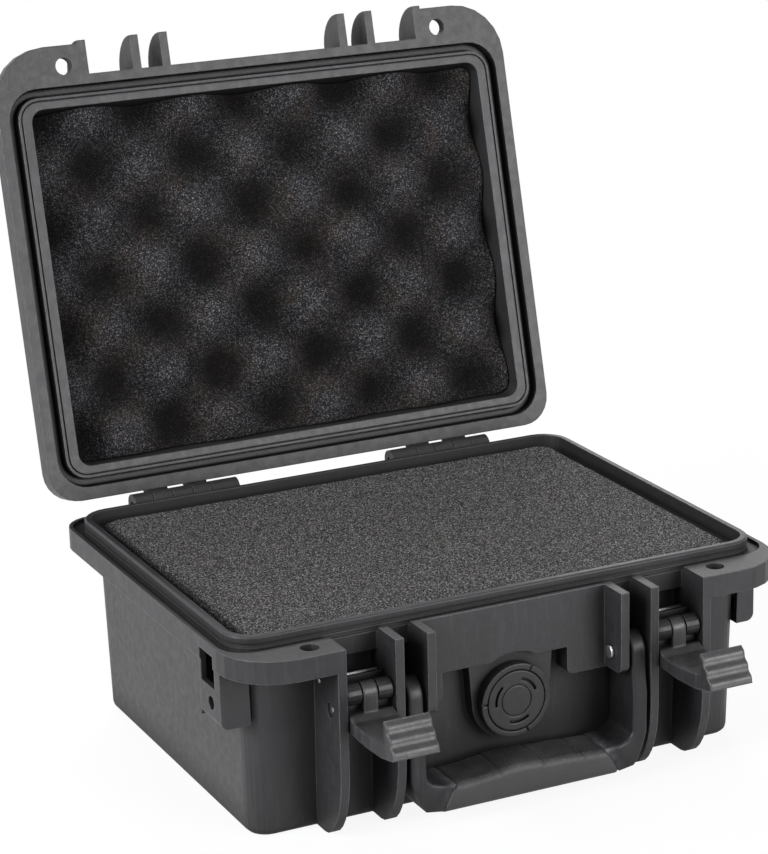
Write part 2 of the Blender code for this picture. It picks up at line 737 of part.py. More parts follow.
def base_pin_bores(side):
    """Bores of the latch, stop and handle pins, with the latch pin's sink."""
    outer_face = OUTER_RIB_X + RIB_THICKNESS / 2
    short_face = INNER_RIB_X - RIB_THICKNESS / 2
    axis = (-PIN_Y, PIN_HEIGHT)
    stop = (-STOP_PIN_Y, STOP_PIN_HEIGHT)
    start = side * (outer_face + OVERRUN)
    bay_end = side * (latch_pin_end() - GAP)
    handle_start, handle_end = side * (short_face - OVERRUN), side * (handle_pin_end() + GAP)
    return (
        rod("bore", axis, LATCH_PIN_RADIUS + GAP, "X", start, bay_end),
        rod("sink", axis, PIN_SINK_RADIUS, "X", start, side * (outer_face - PIN_SINK_DEPTH)),
        rod("bore", stop, STOP_PIN_RADIUS + GAP, "X", start, bay_end),
        rod("bore", axis, HANDLE_PIN_RADIUS + GAP, "X", handle_start, handle_end),
    )


def base_shell():
    """The whole base moulding."""
    shell = base_body()
    fuse(shell, base_flange(), sealing_tongue(), apron(), valve_seat())
    fuse(shell, rib_pad(-1, LEFT_PAD_REACH), rib_pad(1, RIGHT_PAD_REACH))
    for side in (-1, 1):
        fuse(shell, long_rib(side * OUTER_RIB_X), long_rib(side * MIDDLE_RIB_X))
        fuse(shell, short_rib(side * INNER_RIB_X), strap_bracket(side))
        for first in (0, 2, 4):
            fuse(shell, knuckle(side, first, base_knuckle_web()))
    cut(shell, channel_tool(), base_cavity())
    cut(shell, valve_bore(-wall_middle(VALVE_HEIGHT) + WALL * 2))
    for side in (-1, 1):
        cut(shell, *strap_cuts(side), ear_hole(side, PARTING_HEIGHT - SKIRT_DROP, PARTING_HEIGHT + OVERRUN))
    for side in (-1, 1):
        cut(shell, hinge_bore(side), *base_pin_bores(side))
    give_material(shell, BLACK_SHELL)
    return shell


def lid_outer_ring(height, inset):
    """A level ring of the lid body's outer face."""
    half_width = TONGUE_HALF_WIDTH - LID_BODY_INSET - inset
    half_depth = TONGUE_HALF_DEPTH - LID_BODY_INSET + GAP - inset
    return level_ring(half_width, half_depth, TONGUE_CORNER - inset, height)


def lid_body():
    """The shallow outer box of the lid, with rounded top edges."""
    foot = PARTING_HEIGHT + GAP + LID_FLANGE_HEIGHT / 2
    rings = [lid_outer_ring(foot, 0)]
    for index in range(EDGE_STEPS + 1):
        angle = math.radians(90 * index / EDGE_STEPS)
        height = LID_TOP_HEIGHT - LID_TOP_ROUND * (1 - math.sin(angle))
        rings.append(lid_outer_ring(height, LID_TOP_INSET + LID_TOP_ROUND * (1 - math.cos(angle))))
    return solid("lid_shell", rings)


def lid_flange():
    """The lid's flange block and its thinner padlock ears."""
    foot = PARTING_HEIGHT + GAP
    outline = rounded_rectangle(FLANGE_HALF_WIDTH, FLANGE_FRONT, FLANGE_BACK, FLANGE_CORNER)
    flange = prism("flange", outline, "Z", foot, foot + LID_FLANGE_HEIGHT)
    fuse(flange, prism("ears", flange_outline(BAY_FRONT), "Z", foot, foot + LID_EAR_HEIGHT))
    return flange


def lid_cavity():
    """The space inside the lid, with a slight taper."""
    roof = LID_TOP_HEIGHT - WALL
    half_width, half_depth = LID_CAVITY_HALF_WIDTH, LID_CAVITY_HALF_DEPTH
    rings = [
        level_ring(half_width, half_depth, LID_CAVITY_CORNER, PARTING_HEIGHT - OVERRUN),
        level_ring(half_width, half_depth, LID_CAVITY_CORNER, PARTING_HEIGHT + GAP),
        level_ring(half_width - LID_CAVITY_INSET, half_depth - LID_CAVITY_INSET, LID_CAVITY_CORNER, roof),
    ]
    return solid("cavity", rings)


def ring_tool(outer, inner, start, end):
    """A rectangular ring cut between two insets from the tongue's face."""
    tool = solid("ring", [tongue_ring(start, outer), tongue_ring(end, outer)])
    core = solid("core", [tongue_ring(start - OVERRUN, inner), tongue_ring(end + OVERRUN, inner)])
    cut(tool, core)
    return tool


def lid_fin(x):
    """A stiffening fin on the front of the lid, rounded like a shark's fin."""
    foot = PARTING_HEIGHT + GAP
    root = FLANGE_FRONT
    profile = [(-root + SKIRT_WALL, foot), (-root - FIN_REACH, foot)]
    profile += arc((-root, foot + FIN_TIP), FIN_REACH, FIN_RISE, 180, 90, RIB_STEPS)
    body_front = TONGUE_HALF_DEPTH - LID_BODY_INSET - WALL / 2
    profile += [(-body_front, foot + FIN_TIP + FIN_RISE), (-body_front, foot + LID_FLANGE_HEIGHT / 2)]
    return prism("fin", profile, "X", x - RIB_THICKNESS / 2, x + RIB_THICKNESS / 2)


def lid_shell():
    """The whole lid moulding, shaped as it lies when shut."""
    foot = PARTING_HEIGHT + GAP
    shell = lid_body()
    fuse(shell, lid_flange())
    for side in (-1, 1):
        fuse(shell, lid_fin(side * OUTER_RIB_X), lid_fin(side * MIDDLE_RIB_X), lid_fin(side * INNER_RIB_X))
        for first in (1, 3):
            fuse(shell, knuckle(side, first, lid_knuckle_web()))
    groove_inner = TONGUE_WALL + GROOVE_PLAY
    line_outer = groove_inner + FRAME_LINE_INSET
    cut(shell, lid_cavity())
    cut(shell, ring_tool(-GROOVE_PLAY, groove_inner, foot - OVERRUN, foot + GROOVE_DEPTH))
    cut(shell, ring_tool(line_outer, line_outer + FRAME_LINE_WIDTH, foot - OVERRUN, foot + FRAME_LINE_DEPTH))
    for side in (-1, 1):
        cut(shell, hinge_bore(side), ear_hole(side, foot - OVERRUN, foot + LID_FLANGE_HEIGHT))
    give_material(shell, BLACK_SHELL)
    return shell


def lid_gasket():
    """The square-section seal at the bottom of the lid's groove."""
    top = PARTING_HEIGHT + GAP + GROOVE_DEPTH - GAP
    outer = -GROOVE_PLAY + GASKET_SIDE_PLAY
    inner = TONGUE_WALL + GROOVE_PLAY - GASKET_SIDE_PLAY
    gasket = solid(
        "lid_gasket",
        [
            tongue_ring(top - GASKET_HEIGHT, outer + GASKET_CHAMFER),
            tongue_ring(top - GASKET_HEIGHT + GASKET_CHAMFER, outer),
            tongue_ring(top, outer),
        ],
    )
    core = solid(
        "core",
        [
            tongue_ring(top - GASKET_HEIGHT - OVERRUN, inner - GASKET_CHAMFER - OVERRUN),
            tongue_ring(top - GASKET_HEIGHT + GASKET_CHAMFER, inner),
            tongue_ring(top + OVERRUN, inner),
        ],
    )
    cut(gasket, core)
    give_material(gasket, GASKET_RUBBER)
    return gasket


def egg_height(x, y):
    """Height share of the egg-crate foam, from 0 in a valley to 1 on a peak."""
    across = math.cos(math.pi * (x - EGG_PEAK_X) / EGG_PITCH_X)
    along = math.cos(math.pi * (y - EGG_PEAK_Y) / EGG_PITCH_Y)
    return (1 + across * along) / 2


def lid_foam():
    """Egg-crate foam under the lid's roof, its bumps on a staggered grid."""
    roof = LID_TOP_HEIGHT - WALL - GAP
    valley = roof - EGG_BACK
    inset = LID_CAVITY_INSET + GAP
    half_width = LID_CAVITY_HALF_WIDTH - inset
    half_depth = LID_CAVITY_HALF_DEPTH - inset
    corner_share = LID_CAVITY_CORNER * (1 - math.sqrt(1 / 2))
    builder = bmesh.new()
    columns = []
    for i in range(EGG_CELLS_X + 1):
        column = []
        for j in range(EGG_CELLS_Y + 1):
            x = half_width * (2 * i / EGG_CELLS_X - 1)
            y = half_depth * (2 * j / EGG_CELLS_Y - 1)
            if i in (0, EGG_CELLS_X) and j in (0, EGG_CELLS_Y):
                x -= math.copysign(corner_share, x)
                y -= math.copysign(corner_share, y)
            z = valley - EGG_DEPTH * egg_height(x, y)
            column.append((builder.verts.new((x, y, z)), builder.verts.new((x, y, roof))))
        columns.append(column)
    for i in range(EGG_CELLS_X):
        for j in range(EGG_CELLS_Y):
            corners = (columns[i][j], columns[i + 1][j], columns[i + 1][j + 1], columns[i][j + 1])
            builder.faces.new([pair[0] for pair in corners])
    border = [columns[i][0] for i in range(EGG_CELLS_X + 1)]
    border += [columns[-1][j] for j in range(1, EGG_CELLS_Y + 1)]
    border += [columns[i][-1] for i in range(EGG_CELLS_X - 1, -1, -1)]
    border += [columns[0][j] for j in range(EGG_CELLS_Y - 1, 0, -1)]
    for index, pair in enumerate(border):
        before = border[index - 1]
        builder.faces.new((before[0], pair[0], pair[1], before[1]))
    builder.faces.new([pair[1] for pair in border])
    inner_verts = [pair[1] for column in columns[1:-1] for pair in column[1:-1]]
    bmesh.ops.delete(builder, geom=inner_verts, context="VERTS")
    foam = finished_mesh("lid_foam", builder)
    give_material(foam, EGG_FOAM)
    return foam


def foam_layer(name, start, end, crown=()):
    """A foam layer that follows the tapered walls of the base, with rings above it."""
    foam = solid(name, [base_ring(start, WALL + GAP), base_ring(end, WALL + GAP), *crown])
    give_material(foam, BLOCK_FOAM)


def base_foams():
    """The bottom pad and the thick block, whose crown fits inside the shut lid."""
    pad_top = WALL + GAP + FOAM_PAD_HEIGHT
    foam_layer("base_foam_pad", WALL + GAP, pad_top)
    half_width = LID_CAVITY_HALF_WIDTH - GAP * 2
    half_depth = LID_CAVITY_HALF_DEPTH - GAP * 2
    top = PARTING_HEIGHT + TONGUE_RISE - FOAM_DROP
    crown = [
        level_ring(half_width, half_depth, LID_CAVITY_CORNER, PARTING_HEIGHT),
        level_ring(half_width, half_depth, LID_CAVITY_CORNER, top),
    ]
    foam_layer("base_foam_block", pad_top + GAP, PARTING_HEIGHT, crown)


def side_name(name, side):
    """The name of a piece on the left or the right."""
    return name + ("_left" if side < 0 else "_right")


def hinge_pin(side):
    """The steel pin of one lid hinge."""
    start = side * (KNUCKLE_ENDS[0] + HINGE_PIN_RECESS)
    end = side * (KNUCKLE_ENDS[-1] - HINGE_PIN_RECESS)
    name = side_name("hinge_pin", side)
    pin = rod(name, (HINGE_Y, HINGE_HEIGHT), HINGE_PIN_RADIUS, "X", start, end)
    give_material(pin, PIN_STEEL)


def latch_base_pin(side):
    """The steel pin that a latch link turns on."""
    name = side_name("latch_base_pin", side)
    outer = side * (OUTER_RIB_X + RIB_THICKNESS / 2 - LATCH_PIN_RECESS)
    pin = rod(name, (-PIN_Y, PIN_HEIGHT), LATCH_PIN_RADIUS, "X", outer, side * latch_pin_end())
    give_material(pin, PIN_STEEL)


def latch_stop_pin(side):
    """The thin pin across the back of a latch bay."""
    name = side_name("latch_stop_pin", side)
    outer = side * (OUTER_RIB_X + RIB_THICKNESS / 2 + STOP_PIN_STAND_OUT)
    centre = (-STOP_PIN_Y, STOP_PIN_HEIGHT)
    pin = rod(name, centre, STOP_PIN_RADIUS, "X", outer, side * latch_pin_end())
    give_material(pin, PIN_STEEL)


def handle_pin(side):
    """The headed pin of one handle arm."""
    face = INNER_RIB_X - RIB_THICKNESS / 2 - GAP
    top = face - HANDLE_PIN_HEAD_HEIGHT
    axis = (-PIN_Y, PIN_HEIGHT)
    name = side_name("handle_pin", side)
    pin = rod(name, axis, HANDLE_PIN_RADIUS, "X", side * (top + GAP), side * handle_pin_end())
    fuse(pin, rod("head", axis, HANDLE_PIN_HEAD_RADIUS, "X", side * face, side * top, ROUND_STEPS))
    give_material(pin, PIN_STEEL)


def link_web_profile():
    """Side view of the thin web that joins the link's cheeks at the back."""
    front = -LINK_PIN_Y + LINK_BARREL_RADIUS + GAP
    back = front + LINK_WEB_THICKNESS
    return [
        (-PIN_Y, PIN_HEIGHT + LATCH_PIN_RADIUS * 2),
        (-PIN_Y, PIN_HEIGHT - LINK_ROOT_RADIUS / 2),
        (back, PIN_HEIGHT),
        (back, LINK_WEB_TOP - LINK_WEB_THICKNESS / 2),
        (back - LINK_WEB_THICKNESS / 2, LINK_WEB_TOP),
        (front, LINK_WEB_TOP),
        (front, LINK_PIN_HEIGHT),
    ]


def latch_link(side):
    """The link: a root barrel on the base pin and two knuckles above it."""
    middle = side * LATCH_X
    half = LATCH_WIDTH / 2
    root_axis = (-PIN_Y, PIN_HEIGHT)
    top_axis = (-LINK_PIN_Y, LINK_PIN_HEIGHT)
    inner = LEVER_KNUCKLE_WIDTH / 2 + LEVER_KNUCKLE_PLAY
    link = rod("link", root_axis, LINK_ROOT_RADIUS, "X", middle - half, middle + half)
    for way in (-1, 1):
        start, end = middle + way * inner, middle + way * half
        fuse(link, rod("knuckle", top_axis, LINK_BARREL_RADIUS, "X", start, end))
        reach = LINK_ROOT_RADIUS * math.sqrt(1 / 2)
        cheek = [
            (-PIN_Y - reach, PIN_HEIGHT + reach / 2),
            (-PIN_Y + reach, PIN_HEIGHT - reach / 2),
            (-LINK_PIN_Y + LINK_BARREL_RADIUS * math.sqrt(3 / 4), LINK_PIN_HEIGHT - LINK_BARREL_RADIUS / 2),
            (-LINK_PIN_Y - reach, LINK_PIN_HEIGHT),
        ]
        fuse(link, prism("cheek", cheek, "X", start, end))
    fuse(link, prism("web", link_web_profile(), "X", middle - half, middle + half))
    clearance = rod(
        "clearance", top_axis, LINK_BARREL_RADIUS + GAP, "X", middle - inner, middle + inner, ROUND_STEPS
    )
    cut(link, clearance)
    ends = (middle - half - OVERRUN, middle + half + OVERRUN)
    cut(link, rod("bore", root_axis, LATCH_PIN_RADIUS + GAP, "X", *ends))
    cut(link, rod("bore", top_axis, LATCH_PIN_RADIUS + GAP, "X", *ends))
    link.name = side_name("latch_link", side)
    give_material(link, BLACK_LATCH)
    move_origin(link, (middle, -PIN_Y, PIN_HEIGHT))
    return link


def lever_plate_profile():
    """Side view of the lever's curved plate with its finger tab."""
    span = LEVER_END - LEVER_BACK
    profile = [
        (-LEVER_BACK, LEVER_FOOT_HEIGHT),
        (-LEVER_BACK, LEVER_TOP_HEIGHT),
        (-LEVER_BACK - LEVER_DIP, LEVER_CREST_HEIGHT),
        (-LEVER_BACK - LEVER_DIP * 2, LEVER_CREST_HEIGHT),
    ]
    for index in range(1, CORNER_STEPS + 1):
        share = index / CORNER_STEPS
        dip = LEVER_DIP * math.sin(math.pi * share)
        rise = (LEVER_CREST_HEIGHT - LEVER_TOP_HEIGHT) * share * share
        profile.append((-LEVER_BACK - span * share, LEVER_TOP_HEIGHT - dip + rise))
    profile.append((-TAB_TOP_Y + LEVER_DIP, TAB_TOP_HEIGHT - LEVER_DIP))
    profile.append((-TAB_TOP_Y, TAB_TOP_HEIGHT))
    steps = TAB_RIDGES * TAB_RIDGE_STEPS
    across = Vector((TAB_TOP_HEIGHT - TAB_FOOT_HEIGHT, TAB_FOOT_Y - TAB_TOP_Y)).normalized()
    for index in range(1, steps):
        share = index / steps
        wave = TAB_RIDGE_RISE * (1 - math.cos(2 * math.pi * TAB_RIDGES * share))
        y = TAB_TOP_Y + (TAB_FOOT_Y - TAB_TOP_Y) * share + across.x * wave
        z = TAB_TOP_HEIGHT + (TAB_FOOT_HEIGHT - TAB_TOP_HEIGHT) * share + across.y * wave
        profile.append((-y, z))
    profile.append((-TAB_FOOT_Y, TAB_FOOT_HEIGHT))
    profile.append((-TAB_FOOT_Y + LEVER_DIP * 2, TAB_FOOT_HEIGHT - LEVER_DIP))
    profile.append((-LEVER_END + LEVER_DIP * 4, LEVER_FOOT_HEIGHT))
    profile.append((-LEVER_BACK - span / 2, LEVER_FOOT_HEIGHT - LEVER_DIP))
    return profile


def lever_knuckle_profile():
    """Side view of the tongue that rises from the plate to the knuckle."""
    knee = LINK_PIN_Y + LINK_BARREL_RADIUS
    front = LINK_PIN_Y + LEVER_TONGUE_REACH
    back = front - LEVER_TONGUE_THICKNESS
    return [
        (-back, LEVER_FOOT_HEIGHT + LEVER_DIP),
        (-back, PIN_HEIGHT),
        (-LINK_PIN_Y - LATCH_PIN_RADIUS, LINK_PIN_HEIGHT - LATCH_PIN_RADIUS * 2),
        (-LINK_PIN_Y, LINK_PIN_HEIGHT),
        (-knee, LINK_PIN_HEIGHT),
        (-front, LEVER_FOOT_HEIGHT + LEVER_DIP),
    ]


def latch_lever(side):
    """The claw lever: curved plate, ridged tab and middle knuckle."""
    middle = side * LATCH_X
    half = LATCH_WIDTH / 2
    half_knuckle = LEVER_KNUCKLE_WIDTH / 2
    axis = (-LINK_PIN_Y, LINK_PIN_HEIGHT)
    lever = prism("lever", lever_plate_profile(), "X", middle - half, middle + half)
    knuckle_ends = (middle - half_knuckle, middle + half_knuckle)
    fuse(lever, prism("tongue", lever_knuckle_profile(), "X", *knuckle_ends))
    fuse(lever, rod("knuckle", axis, LINK_BARREL_RADIUS, "X", *knuckle_ends))
    cut(lever, rod("bore", axis, LATCH_PIN_RADIUS + GAP, "X", middle - half, middle + half))
    lever.name = side_name("latch_lever", side)
    give_material(lever, BLACK_LATCH)
    move_origin(lever, (middle, -LINK_PIN_Y, LINK_PIN_HEIGHT))
    return lever


def latch_lever_pin(side):
    """The pin that joins a lever to its link."""
    middle = side * LATCH_X
    half = LATCH_WIDTH / 2 - LATCH_PIN_RECESS
    name = side_name("latch_lever_pin", side)
    pin = rod(name, (-LINK_PIN_Y, LINK_PIN_HEIGHT), LATCH_PIN_RADIUS, "X", middle - half, middle + half)
    give_material(pin, PIN_STEEL)
    move_origin(pin, (middle, -PIN_Y, PIN_HEIGHT))
    return pin


def handle_path():
    """Centres, side directions and bend shares from the left boss to the right."""
    arm_top = Vector((HANDLE_ARM_X, -PIN_Y - HANDLE_ARM_FORWARD, PIN_HEIGHT - HANDLE_BOSS_RADIUS / 2))
    corner_x = HANDLE_ARM_X - HANDLE_BEND
    corner_z = PIN_HEIGHT - HANDLE_DROP + HANDLE_BEND
    right = [(arm_top, Vector((1, 0, 0)), 0)]
    for index in range(CORNER_STEPS + 1):
        share = index / CORNER_STEPS
        turn = math.radians(90 * share)
        forward = HANDLE_ARM_FORWARD + (HANDLE_BAR_FORWARD - HANDLE_ARM_FORWARD) * share
        across = Vector((math.cos(turn), 0, -math.sin(turn)))
        centre = Vector((corner_x, -PIN_Y - forward, corner_z)) + across * HANDLE_BEND
        right.append((centre, across, share))
    left = []
    for centre, across, share in right:
        left.append((Vector((-centre.x, centre.y, centre.z)), Vector((-across.x, 0, across.z)), share))
    return left + list(reversed(right))


def handle_frame():
    """The bent frame of the handle, with a boss at each end."""
    rings = []
    for centre, across, share in handle_path():
        side = (HANDLE_ARM_WIDTH + (HANDLE_BAR_HEIGHT - HANDLE_ARM_WIDTH) * share) / 2
        depth = (HANDLE_ARM_THICKNESS + (HANDLE_BAR_DEPTH - HANDLE_ARM_THICKNESS) * share) / 2
        rings.append(squircle_ring(centre, across, side, depth))
    frame = solid("handle_frame", rings)
    axis = (-PIN_Y, PIN_HEIGHT)
    for side in (-1, 1):
        half = HANDLE_BOSS_WIDTH / 2
        ends = (side * HANDLE_ARM_X - half, side * HANDLE_ARM_X + half)
        fuse(frame, rod("boss", axis, HANDLE_BOSS_RADIUS, "X", *ends, ROUND_STEPS))
        cut(frame, rod("bore", axis, HANDLE_PIN_RADIUS + GAP, "X", ends[0] - OVERRUN, ends[1] + OVERRUN))
    sleeve = grip_bar("sleeve", GRIP_HALF_LENGTH, -OVERRUN, 0)
    cut(sleeve, grip_bar("neck", GRIP_HALF_LENGTH + OVERRUN, GRIP_WALL + GAP, 0))
    cut(frame, sleeve)
    give_material(frame, BLACK_LATCH)
    move_origin(frame, (0, -PIN_Y, PIN_HEIGHT))
    return frame


def squircle_ring(centre, across, side, depth):
    """A rounded-square ring about a centre on the handle's path."""
    ring = []
    for u, v in rounded_rectangle(side, depth, depth, min(side, depth) * HANDLE_ROUND_SHARE):
        ring.append(tuple(centre + across * u + Vector((0, v, 0))))
    return ring


def grip_bar(name, half_length, inset, swell):
    """The bar of the handle, moved inwards by an inset and swollen in its middle."""
    centre_y = -PIN_Y - HANDLE_BAR_FORWARD
    centre_z = PIN_HEIGHT - HANDLE_DROP
    rings = []
    for share in GRIP_RING_SHARES:
        growth = swell * (1 - share * share) - inset
        centre = Vector((half_length * share, centre_y, centre_z))
        half_height, half_depth = HANDLE_BAR_HEIGHT / 2 + growth, HANDLE_BAR_DEPTH / 2 + growth
        rings.append(squircle_ring(centre, Vector((0, 0, -1)), half_height, half_depth))
    return solid(name, rings)


def handle_grip():
    """The soft sleeve moulded round the handle's bar."""
    half = GRIP_HALF_LENGTH - GAP
    sleeve = grip_bar("handle_grip", half, -GRIP_END_SWELL, GRIP_SWELL)
    cut(sleeve, grip_bar("core", half + OVERRUN, GRIP_WALL, 0))
    give_material(sleeve, RUBBER_GRIP)
    move_origin(sleeve, (0, -PIN_Y, PIN_HEIGHT))
    return sleeve


def valve_bore(back):
    """The bore for the valve's stem through the seat and wall."""
    return rod(
        "bore", (0, VALVE_HEIGHT), VALVE_STEM_RADIUS + GAP, "Y", -SEAT_FRONT - OVERRUN, back, ROUND_STEPS
    )


def valve_arc(angle, span, radius, width, start, end):
    """A curved slot about the valve's axis."""
    axis = (0, VALVE_HEIGHT)
    first, last = angle - span / 2, angle + span / 2
    outer, inner = radius + width / 2, radius - width / 2
    outline = arc(axis, outer, outer, first, last, VALVE_SLOT_STEPS)
    outline += arc(axis, inner, inner, last, first, VALVE_SLOT_STEPS)
    return prism("slot", outline, "Y", start, end)


def valve_body():
    """The valve's flanged body with its stem and front recess."""
    axis = (0, VALVE_HEIGHT)
    back = -SEAT_FRONT - GAP
    front = back - VALVE_FLANGE_HEIGHT
    stem_end = WALL - base_sizes(VALVE_HEIGHT + VALVE_STEM_RADIUS)[1]
    body = rod("valve_body", axis, VALVE_RADIUS, "Y", front, back, FINE_STEPS)
    fuse(body, rod("stem", axis, VALVE_STEM_RADIUS, "Y", back - BEDDING, stem_end, ROUND_STEPS))
    floor = front + VALVE_RECESS_DEPTH
    cut(body, rod("recess", axis, VALVE_RECESS_RADIUS, "Y", front - OVERRUN, floor, FINE_STEPS))
    room_start = back - VALVE_SEAL_HEIGHT + GAP
    seal_room = rod("room", axis, VALVE_SEAL_OUTER + GAP, "Y", room_start, back + OVERRUN, ROUND_STEPS)
    cut(seal_room, rod("core", axis, VALVE_SEAL_INNER - GAP, "Y", front, back + OVERRUN * 2, ROUND_STEPS))
    cut(body, seal_room)
    pocket_end = floor + MEMBRANE_THICKNESS + GAP
    cut(body, rod("pocket", axis, MEMBRANE_RADIUS + GAP, "Y", floor - OVERRUN, pocket_end, ROUND_STEPS))
    cut(body, rod("port", axis, VALVE_PORT_RADIUS, "Y", front, stem_end + OVERRUN))
    for angle in VALVE_NOTCH_ANGLES:
        span = math.degrees(VALVE_NOTCH_WIDTH / VALVE_RADIUS)
        width = (VALVE_RADIUS - VALVE_RECESS_RADIUS) * 2
        notch = valve_arc(angle, span, VALVE_RADIUS, width, front - OVERRUN, front + VALVE_NOTCH_DEPTH)
        cut(body, notch)
    give_material(body, VALVE_PLASTIC)
    return body


def valve_cap():
    """The slotted disc that covers the valve."""
    axis = (0, VALVE_HEIGHT)
    front = -SEAT_FRONT - GAP - VALVE_FLANGE_HEIGHT
    back = front + VALVE_RECESS_DEPTH - GAP
    start = back - VALVE_CAP_HEIGHT
    cap = rod("valve_cap", axis, VALVE_CAP_RADIUS, "Y", start, back, FINE_STEPS)
    groove_floor = start + VALVE_BUTTON_GROOVE
    groove = rod("groove", axis, VALVE_BUTTON_RADIUS, "Y", start - OVERRUN, groove_floor, ROUND_STEPS)
    land = VALVE_BUTTON_RADIUS - VALVE_BUTTON_GROOVE
    cut(groove, rod("land", axis, land, "Y", start - OVERRUN * 2, back, ROUND_STEPS))
    cut(cap, groove)
    ends = (start - OVERRUN, back + OVERRUN)
    for angle in VALVE_SLOT_ANGLES:
        cut(cap, valve_arc(angle, VALVE_SLOT_SPAN, VALVE_SLOT_RADIUS, VALVE_SLOT_WIDTH, *ends))
    give_material(cap, VALVE_PLASTIC)
    return cap


def valve_membrane():
    """The breathing film between the valve's cap and its port."""
    axis = (0, VALVE_HEIGHT)
    front = -SEAT_FRONT - GAP - VALVE_FLANGE_HEIGHT + VALVE_RECESS_DEPTH
    back = front + MEMBRANE_THICKNESS
    film = rod("valve_membrane", axis, MEMBRANE_RADIUS, "Y", front, back, ROUND_STEPS)
    give_material(film, MEMBRANE_FILM)
    return film


def valve_seal():
    """The flat sealing ring under the valve's flange."""
    axis = (0, VALVE_HEIGHT)
    back = -SEAT_FRONT - GAP
    front = back - VALVE_SEAL_HEIGHT + GAP * 2
    seal = rod("valve_seal", axis, VALVE_SEAL_OUTER, "Y", front, back, ROUND_STEPS)
    cut(seal, rod("core", axis, VALVE_SEAL_INNER, "Y", front - OVERRUN, back + OVERRUN, ROUND_STEPS))
    give_material(seal, GASKET_RUBBER)
    return seal


def open_lid(pieces):
    """Swing the lid's pieces from shut to fully open about the hinge axis."""
    for piece in pieces:
        move_origin(piece, (0, HINGE_Y, HINGE_HEIGHT))
        piece.rotation_euler = (math.radians(-LID_OPEN_ANGLE), 0, 0)


def main():
    """Build every piece of the case."""
    for thing in list(bpy.data.objects):
        bpy.data.objects.remove(thing)
    base_shell()
    base_foams()
    open_lid([lid_shell(), lid_gasket(), lid_foam()])
    for side in (-1, 1):
        hinge_pin(side)
        latch_base_pin(side)
        latch_stop_pin(side)
        handle_pin(side)
        latch_link(side)
        latch_lever(side)
        latch_lever_pin(side)
    handle_frame()
    handle_grip()
    valve_body()
    valve_cap()
    valve_membrane()
    valve_seal()


if __name__ == "__main__":
    main()
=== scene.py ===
"""Dress a small waterproof hard case for a studio picture.

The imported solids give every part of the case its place. This script gives each
solid a procedural finish, puts fuller foam and rubber pieces in place of the
soft solids, and sets up a pale floor, soft lamps and the camera.
"""

import logging
import math
from dataclasses import dataclass, field
from enum import Enum

import bmesh
import bpy
from mathutils import Matrix, Vector, noise


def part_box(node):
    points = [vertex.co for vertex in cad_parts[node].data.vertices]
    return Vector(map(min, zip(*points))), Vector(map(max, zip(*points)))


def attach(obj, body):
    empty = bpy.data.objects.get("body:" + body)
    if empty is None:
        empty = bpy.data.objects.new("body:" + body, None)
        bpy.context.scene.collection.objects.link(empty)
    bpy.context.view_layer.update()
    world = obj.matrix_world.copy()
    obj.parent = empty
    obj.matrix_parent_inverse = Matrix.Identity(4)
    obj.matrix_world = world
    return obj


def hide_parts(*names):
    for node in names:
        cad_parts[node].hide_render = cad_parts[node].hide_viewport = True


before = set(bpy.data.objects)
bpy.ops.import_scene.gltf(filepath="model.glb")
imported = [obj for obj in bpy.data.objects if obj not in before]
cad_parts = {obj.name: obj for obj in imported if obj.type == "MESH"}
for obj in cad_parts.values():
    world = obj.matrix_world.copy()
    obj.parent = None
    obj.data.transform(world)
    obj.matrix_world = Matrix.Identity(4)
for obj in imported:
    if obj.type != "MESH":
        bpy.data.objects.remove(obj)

LOG = logging.getLogger("hard_case")
Colour = tuple[float, float, float]
Point = tuple[float, float, float]
Spot = tuple[float, float]
Ring = list[Vector]
Corners = list[bmesh.types.BMVert]
Socket = bpy.types.NodeSocket


class Facing(Enum):
    """How a row of rings ends."""

    CAPPED = "capped"
    LOOPED = "looped"


